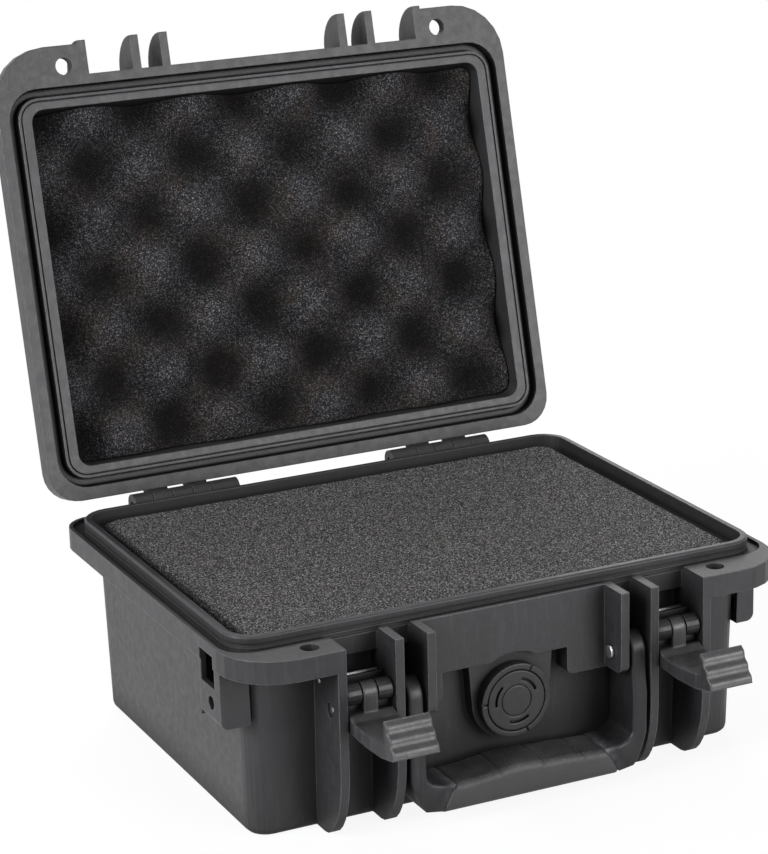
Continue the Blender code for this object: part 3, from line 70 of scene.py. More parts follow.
class Graph:
    """A node tree with short calls for the nodes that the finishes share."""

    def __init__(self, tree: bpy.types.NodeTree) -> None:
        """Keep the tree that the nodes go into."""
        self.tree = tree

    def node(self, kind: str, **settings: object) -> bpy.types.Node:
        """Add a node and set its properties.

        Args:
            kind: Blender's identifier of the node.
            **settings: properties to set on it.

        Returns:
            The new node.
        """
        made = self.tree.nodes.new(kind)
        for name, value in settings.items():
            setattr(made, name, value)
        return made

    def feed(self, target: Socket, source: Socket | float | Colour) -> None:
        """Link a socket, or set its own value.

        Args:
            target: the input socket.
            source: an output socket, a number or a colour.
        """
        if isinstance(source, bpy.types.NodeSocket):
            self.tree.links.new(source, target)
        elif isinstance(source, tuple) and len(source) == 3 and target.type == "RGBA":
            target.default_value = (*source, 1.0)
        else:
            target.default_value = source

    def place(self) -> Socket:
        """The point on the object in its own coordinates."""
        return self.node("ShaderNodeTexCoord").outputs["Object"]

    def stretch(self, vector: Socket, scale: Point) -> Socket:
        """Scale coordinates.

        Args:
            vector: the coordinates.
            scale: factors along X, Y and Z.

        Returns:
            The scaled coordinates.
        """
        node = self.node("ShaderNodeMapping")
        self.feed(node.inputs["Vector"], vector)
        node.inputs["Scale"].default_value = scale
        return node.outputs["Vector"]

    def noise(self, vector: Socket, scale: Socket | float, detail: float = 2.0, rough: float = 0.5) -> Socket:
        """Soft noise between about 0.2 and 0.8.

        Args:
            vector: the coordinates.
            scale: how many grains a metre holds.
            detail: octaves.
            rough: share of each further octave.

        Returns:
            The noise value.
        """
        node = self.node("ShaderNodeTexNoise")
        self.feed(node.inputs["Vector"], vector)
        self.feed(node.inputs["Scale"], scale)
        node.inputs["Detail"].default_value = detail
        node.inputs["Roughness"].default_value = rough
        return node.outputs["Fac"]

    def cells(
        self, vector: Socket, scale: Socket | float, feature: str = "F1", output: str = "Distance"
    ) -> Socket:
        """A Voronoi pattern.

        Args:
            vector: the coordinates.
            scale: how many cells a metre holds.
            feature: F1, F2, SMOOTH_F1 or DISTANCE_TO_EDGE.
            output: which output to give.

        Returns:
            The chosen output.
        """
        node = self.node("ShaderNodeTexVoronoi", feature=feature)
        self.feed(node.inputs["Vector"], vector)
        self.feed(node.inputs["Scale"], scale)
        return node.outputs[output]

    def maths(self, operation: str, first: Socket | float, second: Socket | float = 0.0) -> Socket:
        """Work out one sum.

        Args:
            operation: Blender's name of the operation.
            first: a number or a socket.
            second: a number or a socket.

        Returns:
            The result.
        """
        node = self.node("ShaderNodeMath", operation=operation)
        self.feed(node.inputs[0], first)
        self.feed(node.inputs[1], second)
        return node.outputs[0]

    def spread(self, value: Socket, low: float, high: float, start: float = 0.0, end: float = 1.0) -> Socket:
        """Map a value from one range to another and clamp it.

        Args:
            value: the value.
            low: where the old range starts.
            high: where the old range ends.
            start: the result at low.
            end: the result at high.

        Returns:
            The mapped value.
        """
        node = self.node("ShaderNodeMapRange")
        self.feed(node.inputs["Value"], value)
        for name, number in (("From Min", low), ("From Max", high), ("To Min", start), ("To Max", end)):
            node.inputs[name].default_value = number
        return node.outputs["Result"]

    def tint(self, share: Socket, first: Socket | Colour, second: Socket | Colour) -> Socket:
        """Mix two colours.

        Args:
            share: 0 for the first colour and 1 for the second.
            first: a colour or a socket.
            second: a colour or a socket.

        Returns:
            The mixed colour.
        """
        node = self.node("ShaderNodeMix", data_type="RGBA")
        self.feed(node.inputs[0], share)
        self.feed(node.inputs[6], first)
        self.feed(node.inputs[7], second)
        return node.outputs[2]

    def bump(self, height: Socket, depth: float, normal: Socket | None = None) -> Socket:
        """Turn a height into a normal.

        Args:
            height: value between 0 and 1.
            depth: how deep 1 is, in metres.
            normal: the normal to bend, or none for the surface's own.

        Returns:
            The bent normal.
        """
        node = self.node("ShaderNodeBump")
        self.feed(node.inputs["Height"], height)
        node.inputs["Distance"].default_value = depth
        if normal is not None:
            self.feed(node.inputs["Normal"], normal)
        return node.outputs["Normal"]

    def openness(self, reach: float) -> Socket:
        """How free the surface is, from 0 in a hollow to 1 in the open.

        Args:
            reach: how far away other surfaces count, in metres.

        Returns:
            The free share.
        """
        node = self.node("ShaderNodeAmbientOcclusion", samples=8)
        node.inputs["Distance"].default_value = reach
        return node.outputs["AO"]

    def sightlines(self) -> Socket:
        """Pick out the rays that see the white surroundings.

        Returns:
            1 for camera, glossy and transmission rays, else 0.
        """
        path = self.node("ShaderNodeLightPath")
        seen = self.maths("MAXIMUM", path.outputs["Is Camera Ray"], path.outputs["Is Glossy Ray"])
        return self.maths("MAXIMUM", seen, path.outputs["Is Transmission Ray"])

    def blend(self, share: Socket, first: bpy.types.Node, second: bpy.types.Node, surface: Socket) -> None:
        """Mix two shaders into an output.

        Args:
            share: 0 for the first shader and 1 for the second.
            first: a shader node.
            second: a shader node.
            surface: the output's socket.
        """
        mix = self.node("ShaderNodeMixShader")
        for target, source in zip(mix.inputs, (share, first.outputs[0], second.outputs[0])):
            self.feed(target, source)
        self.feed(surface, mix.outputs[0])


@dataclass
class SharedEffect:
    """A shader node group that several finishes place with their own values."""

    name: str
    inputs: dict[str, str]
    outputs: dict[str, str]

    def start(self) -> tuple[Graph, bpy.types.Node, bpy.types.Node]:
        """Make the empty group.

        Returns:
            Its graph, its input node and its output node.
        """
        tree = bpy.data.node_groups.new(self.name, "ShaderNodeTree")
        for name, kind in self.inputs.items():
            tree.interface.new_socket(name, in_out="INPUT", socket_type=kind)
        for name, kind in self.outputs.items():
            tree.interface.new_socket(name, in_out="OUTPUT", socket_type=kind)
        graph = Graph(tree)
        return graph, graph.node("NodeGroupInput"), graph.node("NodeGroupOutput")


class Effects:
    """The shared effects, each built once."""

    VALUE = "NodeSocketFloat"
    VECTOR = "NodeSocketVector"

    def __init__(self) -> None:
        """Build every group."""
        self.grain = self._grain()
        self.edge = self._edge()
        self.foam = self._foam()
        self.dust = self._dust()

    def _grain(self) -> bpy.types.NodeTree:
        """Fine moulding grain with broad patches.

        Returns:
            The group, which puts out a height and a patch mask.
        """
        effect = SharedEffect(
            "moulding_grain",
            {"Vector": self.VECTOR, "Grains": self.VALUE},
            {"Height": self.VALUE, "Patches": self.VALUE},
        )
        graph, source, result = effect.start()
        vector, grains = source.outputs["Vector"], source.outputs["Grains"]
        fine = graph.noise(vector, grains, 3.0, 0.6)
        pits = graph.cells(vector, graph.maths("MULTIPLY", grains, 0.6), "SMOOTH_F1")
        height = graph.maths("ADD", graph.maths("MULTIPLY", fine, 0.6), graph.maths("MULTIPLY", pits, 0.4))
        patches = graph.noise(vector, graph.maths("MULTIPLY", grains, 0.022), 4.0, 0.6)
        graph.feed(result.inputs["Height"], height)
        graph.feed(result.inputs["Patches"], graph.spread(patches, 0.35, 0.65))
        return graph.tree

    def _edge(self) -> bpy.types.NodeTree:
        """Softly rounded edges, with a mask of the edges that the finishes paint lighter, partly as rubbed
        wear and partly as a painted highlight.

        Returns:
            The group, which puts out a normal and the edge mask for wear and painted highlight.
        """
        effect = SharedEffect(
            "rubbed_and_highlit_edges",
            {"Vector": self.VECTOR, "Radius": self.VALUE},
            {"Normal": self.VECTOR, "Rubbed And Highlit": self.VALUE},
        )
        graph, source, result = effect.start()
        rounded = graph.node("ShaderNodeBevel", samples=6)
        graph.feed(rounded.inputs["Radius"], source.outputs["Radius"])
        true_normal = graph.node("ShaderNodeNewGeometry").outputs["True Normal"]
        match = graph.node("ShaderNodeVectorMath", operation="DOT_PRODUCT")
        graph.feed(match.inputs[0], rounded.outputs["Normal"])
        graph.feed(match.inputs[1], true_normal)
        turned = graph.spread(match.outputs["Value"], 0.985, 0.80)
        edge_breakup = graph.spread(graph.noise(source.outputs["Vector"], 420.0, 4.0, 0.65), 0.30, 0.62, 0.15, 1.0)
        graph.feed(result.inputs["Normal"], rounded.outputs["Normal"])
        graph.feed(result.inputs["Rubbed And Highlit"], graph.maths("MULTIPLY", turned, edge_breakup))
        return graph.tree

    def _foam(self) -> bpy.types.NodeTree:
        """Open foam cells with bright struts and dark pores.

        Returns:
            The group, which puts out a height, a glint mask and a pore mask.
        """
        effect = SharedEffect(
            "open_cells",
            {"Vector": self.VECTOR, "Cells": self.VALUE},
            {"Height": self.VALUE, "Glints": self.VALUE, "Pores": self.VALUE},
        )
        graph, source, result = effect.start()
        vector, cells = source.outputs["Vector"], source.outputs["Cells"]
        walls = graph.cells(vector, cells, "DISTANCE_TO_EDGE")
        struts = graph.spread(walls, 0.0, 0.16, 1.0, 0.0)
        coarse = graph.noise(vector, graph.maths("MULTIPLY", cells, 0.45), 3.0, 0.7)
        colour = graph.cells(vector, graph.maths("MULTIPLY", cells, 0.9), "F1", "Color")
        chance = graph.node("ShaderNodeSeparateColor")
        graph.feed(chance.inputs[0], colour)
        bright = graph.spread(chance.outputs[0], 0.62, 0.98)
        dark = graph.spread(chance.outputs[1], 0.55, 0.95)
        graph.feed(result.inputs["Height"], graph.maths("ADD", graph.maths("MULTIPLY", struts, 0.5), coarse))
        graph.feed(result.inputs["Glints"], graph.maths("MULTIPLY", bright, graph.spread(coarse, 0.35, 0.6)))
        graph.feed(result.inputs["Pores"], dark)
        return graph.tree

    def _dust(self) -> bpy.types.NodeTree:
        """Thin dust that settles on faces that look up.

        Returns:
            The group, which puts out a dust mask.
        """
        effect = SharedEffect(
            "settled_dust",
            {"Vector": self.VECTOR, "Amount": self.VALUE},
            {"Dust": self.VALUE},
        )
        graph, source, result = effect.start()
        normal = graph.node("ShaderNodeSeparateXYZ")
        graph.feed(normal.inputs[0], graph.node("ShaderNodeNewGeometry").outputs["Normal"])
        upward = graph.spread(normal.outputs["Z"], 0.1, 0.9)
        clouds = graph.spread(graph.noise(source.outputs["Vector"], 60.0, 6.0, 0.65), 0.42, 0.72)
        specks = graph.spread(graph.noise(source.outputs["Vector"], 1500.0, 1.0, 0.5), 0.60, 0.68)
        film = graph.maths("ADD", graph.maths("MULTIPLY", clouds, 0.6), specks)
        dust = graph.maths("MULTIPLY", graph.maths("MULTIPLY", upward, film), source.outputs["Amount"])
        graph.feed(result.inputs["Dust"], dust)
        return graph.tree


@dataclass(frozen=True)
class Finish:
    """What every finish has: a name and its main colour."""

    name: str
    colour: Colour

    def start(self) -> tuple[Graph, bpy.types.Node]:
        """Make a material with one Principled shader.

        Returns:
            Its graph and the shader.
        """
        material = bpy.data.materials.new(self.name)
        material.use_nodes = True
        material.diffuse_color = (*self.colour, 1.0)
        graph = Graph(material.node_tree)
        return graph, material.node_tree.nodes["Principled BSDF"]

    def shade(self, share: float) -> Colour:
        """The main colour, lightened or darkened by a factor."""
        return tuple(channel * share for channel in self.colour)

    def group(self, graph: Graph, tree: bpy.types.NodeTree, **values: Socket | float) -> bpy.types.Node:
        """Place a shared effect.

        Args:
            graph: the material's graph.
            tree: the group.
            **values: what its inputs get.

        Returns:
            The group node.
        """
        node = graph.node("ShaderNodeGroup", node_tree=tree)
        for name, value in values.items():
            graph.feed(node.inputs[name], value)
        return node

    def close(self, graph: Graph, body: Socket, rough: Socket, normal: Socket) -> bpy.types.Material:
        """Feed the shader.

        Args:
            graph: the material's graph.
            body: its colour.
            rough: its roughness.
            normal: its normal.

        Returns:
            The material.
        """
        shader = graph.tree.nodes["Principled BSDF"]
        for name, source in (("Base Color", body), ("Roughness", rough), ("Normal", normal)):
            graph.feed(shader.inputs[name], source)
        return bpy.data.materials[self.name]


@dataclass(frozen=True)
class MouldedPlastic(Finish):
    """Black injection-moulded plastic with a fine grain, edges lightened by wear and a painted highlight, and
    painted shade in hollows.
    """

    grains: float = 1700.0
    grain_depth: float = 0.00009
    low_rough: float = 0.38
    high_rough: float = 0.47
    edge_radius: float = 0.0007
    edge_wear_and_highlight: float = 9.0
    scuffing: float = 0.45
    dust: float = 0.35
    dust_tint: Colour = (0.25, 0.25, 0.26)
    specular: float = 0.36
    mottles: float = 260.0
    hollow_reach: float = 0.022
    painted_hollow_shade: float = 0.05
    patch_shades: Spot = (0.85, 1.18)
    grain_light: float = 1.7
    scuff_light: float = 3.0
    mottle_light: float = 1.8

    def build(self, effects: Effects) -> bpy.types.Material:
        """Make the material.

        Args:
            effects: the shared groups.

        Returns:
            The material.
        """
        graph, shader = self.start()
        place = graph.place()
        grain = self.group(graph, effects.grain, Vector=place, Grains=self.grains)
        edge = self.group(graph, effects.edge, Vector=place, Radius=self.edge_radius)
        dust = self.group(graph, effects.dust, Vector=place, Amount=self.dust)
        dark, light = (self.shade(share) for share in self.patch_shades)
        body = graph.tint(grain.outputs["Patches"], dark, light)
        raised = graph.spread(grain.outputs["Height"], 0.35, 0.75, 0.0, 0.35)
        body = graph.tint(raised, body, self.shade(self.grain_light))
        mottle = graph.spread(graph.noise(place, self.mottles, 3.0, 0.6), 0.35, 0.65)
        scuffs = graph.noise(graph.stretch(place, (700.0, 700.0, 45.0)), 1.0, 4.0, 0.65)
        scuffed = graph.spread(scuffs, 0.52, 0.74, 0.0, self.scuffing)
        body = graph.tint(scuffed, body, self.shade(self.scuff_light))
        body = graph.tint(graph.maths("MULTIPLY", mottle, 0.12), body, self.shade(self.mottle_light))
        # Painted highlight and wear: edges turn lighter, partly as rubbed wear and partly as a painted
        # highlight where light catches them.
        body = graph.tint(edge.outputs["Rubbed And Highlit"], body, self.shade(self.edge_wear_and_highlight))
        body = graph.tint(graph.maths("MULTIPLY", dust.outputs["Dust"], 0.2), body, self.dust_tint)
        # Painted shade: the colour darkens in the hollows that the ambient occlusion finds.
        depth = graph.spread(graph.openness(self.hollow_reach), 0.30, 0.92, 1.0, 0.0)
        body = graph.tint(depth, body, self.shade(self.painted_hollow_shade))
        rough = graph.spread(mottle, 0.0, 1.0, self.low_rough, self.high_rough)
        rough = graph.maths("ADD", rough, graph.maths("MULTIPLY", dust.outputs["Dust"], 0.15))
        rough = graph.maths("ADD", rough, graph.maths("MULTIPLY", depth, 0.3))
        normal = graph.bump(grain.outputs["Height"], self.grain_depth, edge.outputs["Normal"])
        shader.inputs["Specular IOR Level"].default_value = self.specular
        return self.close(graph, body, rough, normal)


@dataclass(frozen=True)
class SoftRubber(Finish):
    """Matte rubber with a faint bloom."""

    grains: float = 2400.0
    grain_depth: float = 0.00006
    low_rough: float = 0.55
    high_rough: float = 0.72
    dust: float = 0.5
    dust_tint: Colour = (0.26, 0.26, 0.27)

    def build(self, effects: Effects) -> bpy.types.Material:
        """Make the material.

        Args:
            effects: the shared groups.

        Returns:
            The material.
        """
        graph, _ = self.start()
        place = graph.place()
        grain = self.group(graph, effects.grain, Vector=place, Grains=self.grains)
        dust = self.group(graph, effects.dust, Vector=place, Amount=self.dust)
        body = graph.tint(grain.outputs["Patches"], self.shade(0.8), self.shade(1.25))
        body = graph.tint(graph.maths("MULTIPLY", dust.outputs["Dust"], 0.4), body, self.dust_tint)
        rough = graph.spread(grain.outputs["Height"], 0.3, 0.8, self.low_rough, self.high_rough)
        return self.close(graph, body, rough, graph.bump(grain.outputs["Height"], self.grain_depth))


@dataclass(frozen=True)
class DrawnSteel(Finish):
    """Bright drawn steel with lines along the pin, and painted shade in its hollows."""

    low_rough: float = 0.24
    high_rough: float = 0.40
    dome: float = 0.0016
    line_depth: float = 0.00002
    hollow_reach: float = 0.02

    def build(self, effects: Effects) -> bpy.types.Material:
        """Make the material.

        Args:
            effects: the shared groups.

        Returns:
            The material.
        """
        graph, shader = self.start()
        place = graph.place()
        lines = graph.noise(graph.stretch(place, (60.0, 5200.0, 5200.0)), 1.0, 3.0, 0.6)
        edge = self.group(graph, effects.edge, Vector=place, Radius=self.dome)
        body = graph.tint(lines, self.shade(0.72), self.shade(1.15))
        # Painted shade: the steel darkens towards black in hollows, for instance inside the latch bays.
        depth = graph.spread(graph.openness(self.hollow_reach), 0.30, 0.80, 0.85, 0.0)
        body = graph.tint(depth, body, self.shade(0.05))
        rough = graph.spread(lines, 0.3, 0.7, self.low_rough, self.high_rough)
        shader.inputs["Metallic"].default_value = 1.0
        return self.close(graph, body, rough, graph.bump(lines, self.line_depth, edge.outputs["Normal"]))


@dataclass(frozen=True)
class OpenFoam(Finish):
    """Open-cell foam with glinting struts, dark pores and soft colour clouds; with a crest attribute, painted
    shade darkens the valleys and a painted highlight lightens the crests.
    """

    cells: float = 1150.0
    depth: float = 0.0006
    glint: Colour = (0.30, 0.30, 0.31)
    pore: Colour = (0.008, 0.008, 0.009)
    warm: Colour = (0.060, 0.052, 0.045)
    warm_share: float = 0.25
    # Painted shade: the near-black colour that the egg crate's valleys darken to.
    valley: Colour = (0.0035, 0.0026, 0.0020)
    crest_attribute: str = ""

    def build(self, effects: Effects) -> bpy.types.Material:
        """Make the material.

        Args:
            effects: the shared groups.

        Returns:
            The material.
        """
        graph, shader = self.start()
        place = graph.place()
        foam = self.group(graph, effects.foam, Vector=place, Cells=self.cells)
        clouds = graph.spread(graph.noise(place, 55.0, 4.0, 0.6), 0.42, 0.62, 0.0, self.warm_share)
        body = graph.tint(clouds, self.colour, self.warm)
        glints = foam.outputs["Glints"]
        if self.crest_attribute:
            # Painted shade and highlight: valleys darken, crests lighten, and glints fade in the valleys,
            # following the bump height with some noise.
            crest = graph.node("ShaderNodeAttribute", attribute_name=self.crest_attribute).outputs["Fac"]
            uneven = graph.spread(graph.noise(place, 45.0, 3.0), 0.2, 0.8, -0.30, 0.30)
            crest_shading = graph.maths("ADD", crest, uneven)
            body = graph.tint(graph.spread(crest_shading, 0.62, 0.05, 0.0, 0.93), body, self.valley)
            body = graph.tint(graph.spread(crest_shading, 0.62, 1.05, 0.0, 0.75), body, self.shade(2.8))
            glints = graph.maths("MULTIPLY", glints, graph.spread(crest_shading, 0.1, 0.9, 0.10, 0.9))
        body = graph.tint(foam.outputs["Pores"], body, self.pore)
        body = graph.tint(glints, body, self.glint)
        rough = graph.spread(glints, 0.0, 1.0, 0.95, 0.6)
        shader.inputs["Specular IOR Level"].default_value = 0.15
        return self.close(graph, body, rough, graph.bump(foam.outputs["Height"], self.depth))


@dataclass(frozen=True)
class BreathingFilm(Finish):
    """Thin white film with a faint fibre texture."""

    fibres: float = 3000.0
    fibre_depth: float = 0.00003

    def build(self, effects: Effects) -> bpy.types.Material:
        """Make the material.

        Args:
            effects: the shared groups.

        Returns:
            The material.
        """
        graph, _ = self.start()
        grain = self.group(graph, effects.grain, Vector=graph.place(), Grains=self.fibres)
        fibres = grain.outputs["Height"]
        body = graph.tint(fibres, self.shade(0.85), self.colour)
        rough = graph.spread(fibres, 0.3, 0.7, 0.5, 0.8)
        return self.close(graph, body, rough, graph.bump(fibres, self.fibre_depth))


class MeshMaker:
    """Mesh helpers that the pieces share."""

    @staticmethod
    def linked(name: str, builder: bmesh.types.BMesh) -> bpy.types.Object:
        """Turn a bmesh into a smooth object in the scene, and log its size.

        Args:
            name: the object's name.
            builder: the mesh, which is freed.

        Returns:
            The object.
        """
        bmesh.ops.recalc_face_normals(builder, faces=builder.faces)
        mesh = bpy.data.meshes.new(name)
        builder.to_mesh(mesh)
        builder.free()
        mesh.shade_smooth()
        thing = bpy.data.objects.new(name, mesh)
        bpy.context.scene.collection.objects.link(thing)
        LOG.info("%s: %d faces", name, len(mesh.polygons))
        return thing

    @staticmethod
    def bridge(builder: bmesh.types.BMesh, lower: Corners, upper: Corners) -> None:
        """Join two closed rings of corners with faces.

        Args:
            builder: the mesh.
            lower: one ring.
            upper: the other ring, with as many corners.
        """
        for index, corner in enumerate(lower):
            builder.faces.new((lower[index - 1], corner, upper[index], upper[index - 1]))

    @staticmethod
    def loft(name: str, rings: list[Ring], facing: Facing) -> bpy.types.Object:
        """Skin a row of rings.

        Args:
            name: the object's name.
            rings: rings with as many points each.
            facing: whether the ends are capped or joined to each other.

        Returns:
            The object.
        """
        builder = bmesh.new()
        layers = [[builder.verts.new(point) for point in ring] for ring in rings]
        pairs = list(zip(layers, layers[1:]))
        if facing is Facing.LOOPED:
            pairs.append((layers[-1], layers[0]))
        else:
            builder.faces.new(layers[0])
            builder.faces.new(layers[-1])
        for lower, upper in pairs:
            MeshMaker.bridge(builder, lower, upper)
        return MeshMaker.linked(name, builder)

    @staticmethod
    def rounded_outline(half_u: float, half_v: float, radius: float, steps: int) -> list[Spot]:
        """An anticlockwise rounded rectangle about zero.

        Args:
            half_u: half its width.
            half_v: half its height.
            radius: its corner radius.
            steps: steps in each corner.

        Returns:
            The points.
        """
        outline = []
        for quarter, (sign_u, sign_v) in enumerate(((1, 1), (-1, 1), (-1, -1), (1, -1))):
            for step in range(steps + 1):
                angle = math.radians(90 * (quarter + step / steps))
                u = sign_u * (half_u - radius) + radius * math.cos(angle)
                v = sign_v * (half_v - radius) + radius * math.sin(angle)
                outline.append((u, v))
        return outline


@dataclass
class FoamSheet:
    """A foam slab whose face is a fine grid with rounded corners and edges."""

    name: str
    half_width: float
    half_depth: float
    corner: float
    bottom: float
    top: float
    bottom_inset: float
    pitch: float = 0.0032
    edge_round: float = 0.0009
    ripple: float = 0.00022
    steps: tuple[Point, ...] = ()

    def narrowed(self, x: float, y: float, z: float) -> Vector:
        """A point moved inwards as the sides taper towards the bottom."""
        inset = self.bottom_inset * (self.top - z) / (self.top - self.bottom)
        return Vector((x * (1 - inset / self.half_width), y * (1 - inset / self.half_depth), z))

    def lines(self, half: float) -> list[float]:
        """Grid lines from side to side, closer together near the edges.

        Args:
            half: half the slab's size.

        Returns:
            The places of the lines.
        """
        rim = [half, half - self.edge_round * 0.3, half - self.edge_round, half - self.edge_round * 2.5]
        inner = rim[-1]
        count = max(2, round(2 * inner / self.pitch))
        middle = [inner * (2 * index / count - 1) for index in range(1, count)]
        return [-value for value in rim] + middle + list(reversed(rim))

    def rounded(self, x: float, y: float) -> Spot:
        """Move a grid point near a corner onto the corner's arc.

        Args:
            x: its place along X.
            y: its place along Y.

        Returns:
            Its new place.
        """
        over_x = abs(x) - (self.half_width - self.corner)
        over_y = abs(y) - (self.half_depth - self.corner)
        if min(over_x, over_y) <= 0:
            return x, y
        share = max(over_x, over_y) / math.hypot(over_x, over_y)
        new_x = self.half_width - self.corner + over_x * share
        new_y = self.half_depth - self.corner + over_y * share
        return math.copysign(new_x, x), math.copysign(new_y, y)

    def height(self, x: float, y: float) -> float:
        """Height of the face, before its edge is rounded.

        Args:
            x: the place along X.
            y: the place along Y.

        Returns:
            The height.
        """
        wave = noise.noise(Vector((x * 90, y * 90, self.top * 400)))
        fine = noise.noise(Vector((x * 420, y * 420, 3.0)))
        return self.top - self.ripple * (1 + 0.7 * wave + 0.5 * fine)

    def edge_drop(self, x: float, y: float) -> float:
        """How far the rounded edge lies under the face.

        Args:
            x: the place along X.
            y: the place along Y.

        Returns:
            The drop, which is 0 away from the edge.
        """
        gap = min(self.half_width - abs(x), self.half_depth - abs(y))
        if gap >= self.edge_round:
            return 0.0
        rest = self.edge_round - max(gap, 0.0)
        return self.edge_round - math.sqrt(max(self.edge_round**2 - rest**2, 0.0))

    def lowered(self, point: Vector, step: Point) -> Vector:
        """Where a point of the face's border lies on a lower rim.

        Args:
            point: the point.
            step: how far the rim stands out along X and Y, and its height.

        Returns:
            The place on the rim.
        """
        if self.steps:
            wide_x = point.x * (1 + step[0] / self.half_width)
            wide_y = point.y * (1 + step[1] / self.half_depth)
            return Vector((wide_x, wide_y, step[2]))
        full = self.narrowed(1.0, 1.0, point.z)
        return self.narrowed(point.x / full.x, point.y / full.y, step[2])

    def build(self) -> bpy.types.Object:
        """Make the slab.

        Returns:
            The closed slab.
        """
        builder = bmesh.new()
        columns = []
        for x in self.lines(self.half_width):
            column = []
            for y in self.lines(self.half_depth):
                new_x, new_y = self.rounded(x, y)
                z = self.height(x, y) - self.edge_drop(x, y)
                column.append(builder.verts.new(self.narrowed(new_x, new_y, z)))
            columns.append(column)
        for left, right in zip(columns, columns[1:]):
            for index in range(len(left) - 1):
                builder.faces.new((left[index], right[index], right[index + 1], left[index + 1]))
        border = [column[0] for column in columns] + columns[-1][1:]
        border += [column[-1] for column in reversed(columns[:-1])] + list(reversed(columns[0][1:-1]))
        upper = border
        for step in self.steps or ((0.0, 0.0, self.bottom),):
            lower = [builder.verts.new(self.lowered(corner.co, step)) for corner in border]
            MeshMaker.bridge(builder, upper, lower)
            upper = lower
        builder.faces.new(upper)
        return MeshMaker.linked(self.name, builder)


@dataclass
class EggCrate(FoamSheet):
    """Egg-crate foam: soft bumps on a staggered grid, each a little uneven."""

    depth: float = 0.0125
    pitch_x: float = 0.026
    pitch_y: float = 0.0248
    peak_x: float = -0.008
    peak_y: float = -0.0037
    wave_height: float = 0.0003
    fine_height: float = 0.00015
    attribute: str = "crest"

    def crest(self, x: float, y: float) -> float:
        """Share of the bump's height.

        Args:
            x: the place along X.
            y: the place along Y.

        Returns:
            0 in a valley to 1 on a crest.
        """
        across = math.cos(math.pi * (x - self.peak_x) / self.pitch_x)
        along = math.cos(math.pi * (y - self.peak_y) / self.pitch_y)
        return (1 + across * along) / 2

    def height(self, x: float, y: float) -> float:
        """Height of the bumpy face.

        Args:
            x: the place along X.
            y: the place along Y.

        Returns:
            The height.
        """
        wave = self.wave_height * noise.noise(Vector((x * 70, y * 70, 5.0)))
        fine = self.fine_height * noise.noise(Vector((x * 500, y * 500, 9.0)))
        return self.top - self.ripple - self.depth * (1 - self.crest(x, y)) + wave + fine

    def build(self) -> bpy.types.Object:
        """Make the foam and store its crest shares.

        Returns:
            The closed foam.
        """
        foam = super().build()
        values = foam.data.attributes.new(self.attribute, "FLOAT", "POINT")
        for index, vertex in enumerate(foam.data.vertices):
            values.data[index].value = self.crest(vertex.co.x, vertex.co.y)
        return foam


@dataclass
class LidPose:
    """How the lid stands open: its hinge axis and its angle from shut."""

    hinge_y: float = 0.1025
    hinge_z: float = 0.0858
    angle: float = 104.2

    def matrix(self) -> Matrix:
        """The move from the shut lid to the open one.

        Returns:
            The turn about the hinge axis.
        """
        axis = Vector((0, self.hinge_y, self.hinge_z))
        turn = Matrix.Rotation(math.radians(-self.angle), 4, "X")
        return Matrix.Translation(axis) @ turn @ Matrix.Translation(-axis)


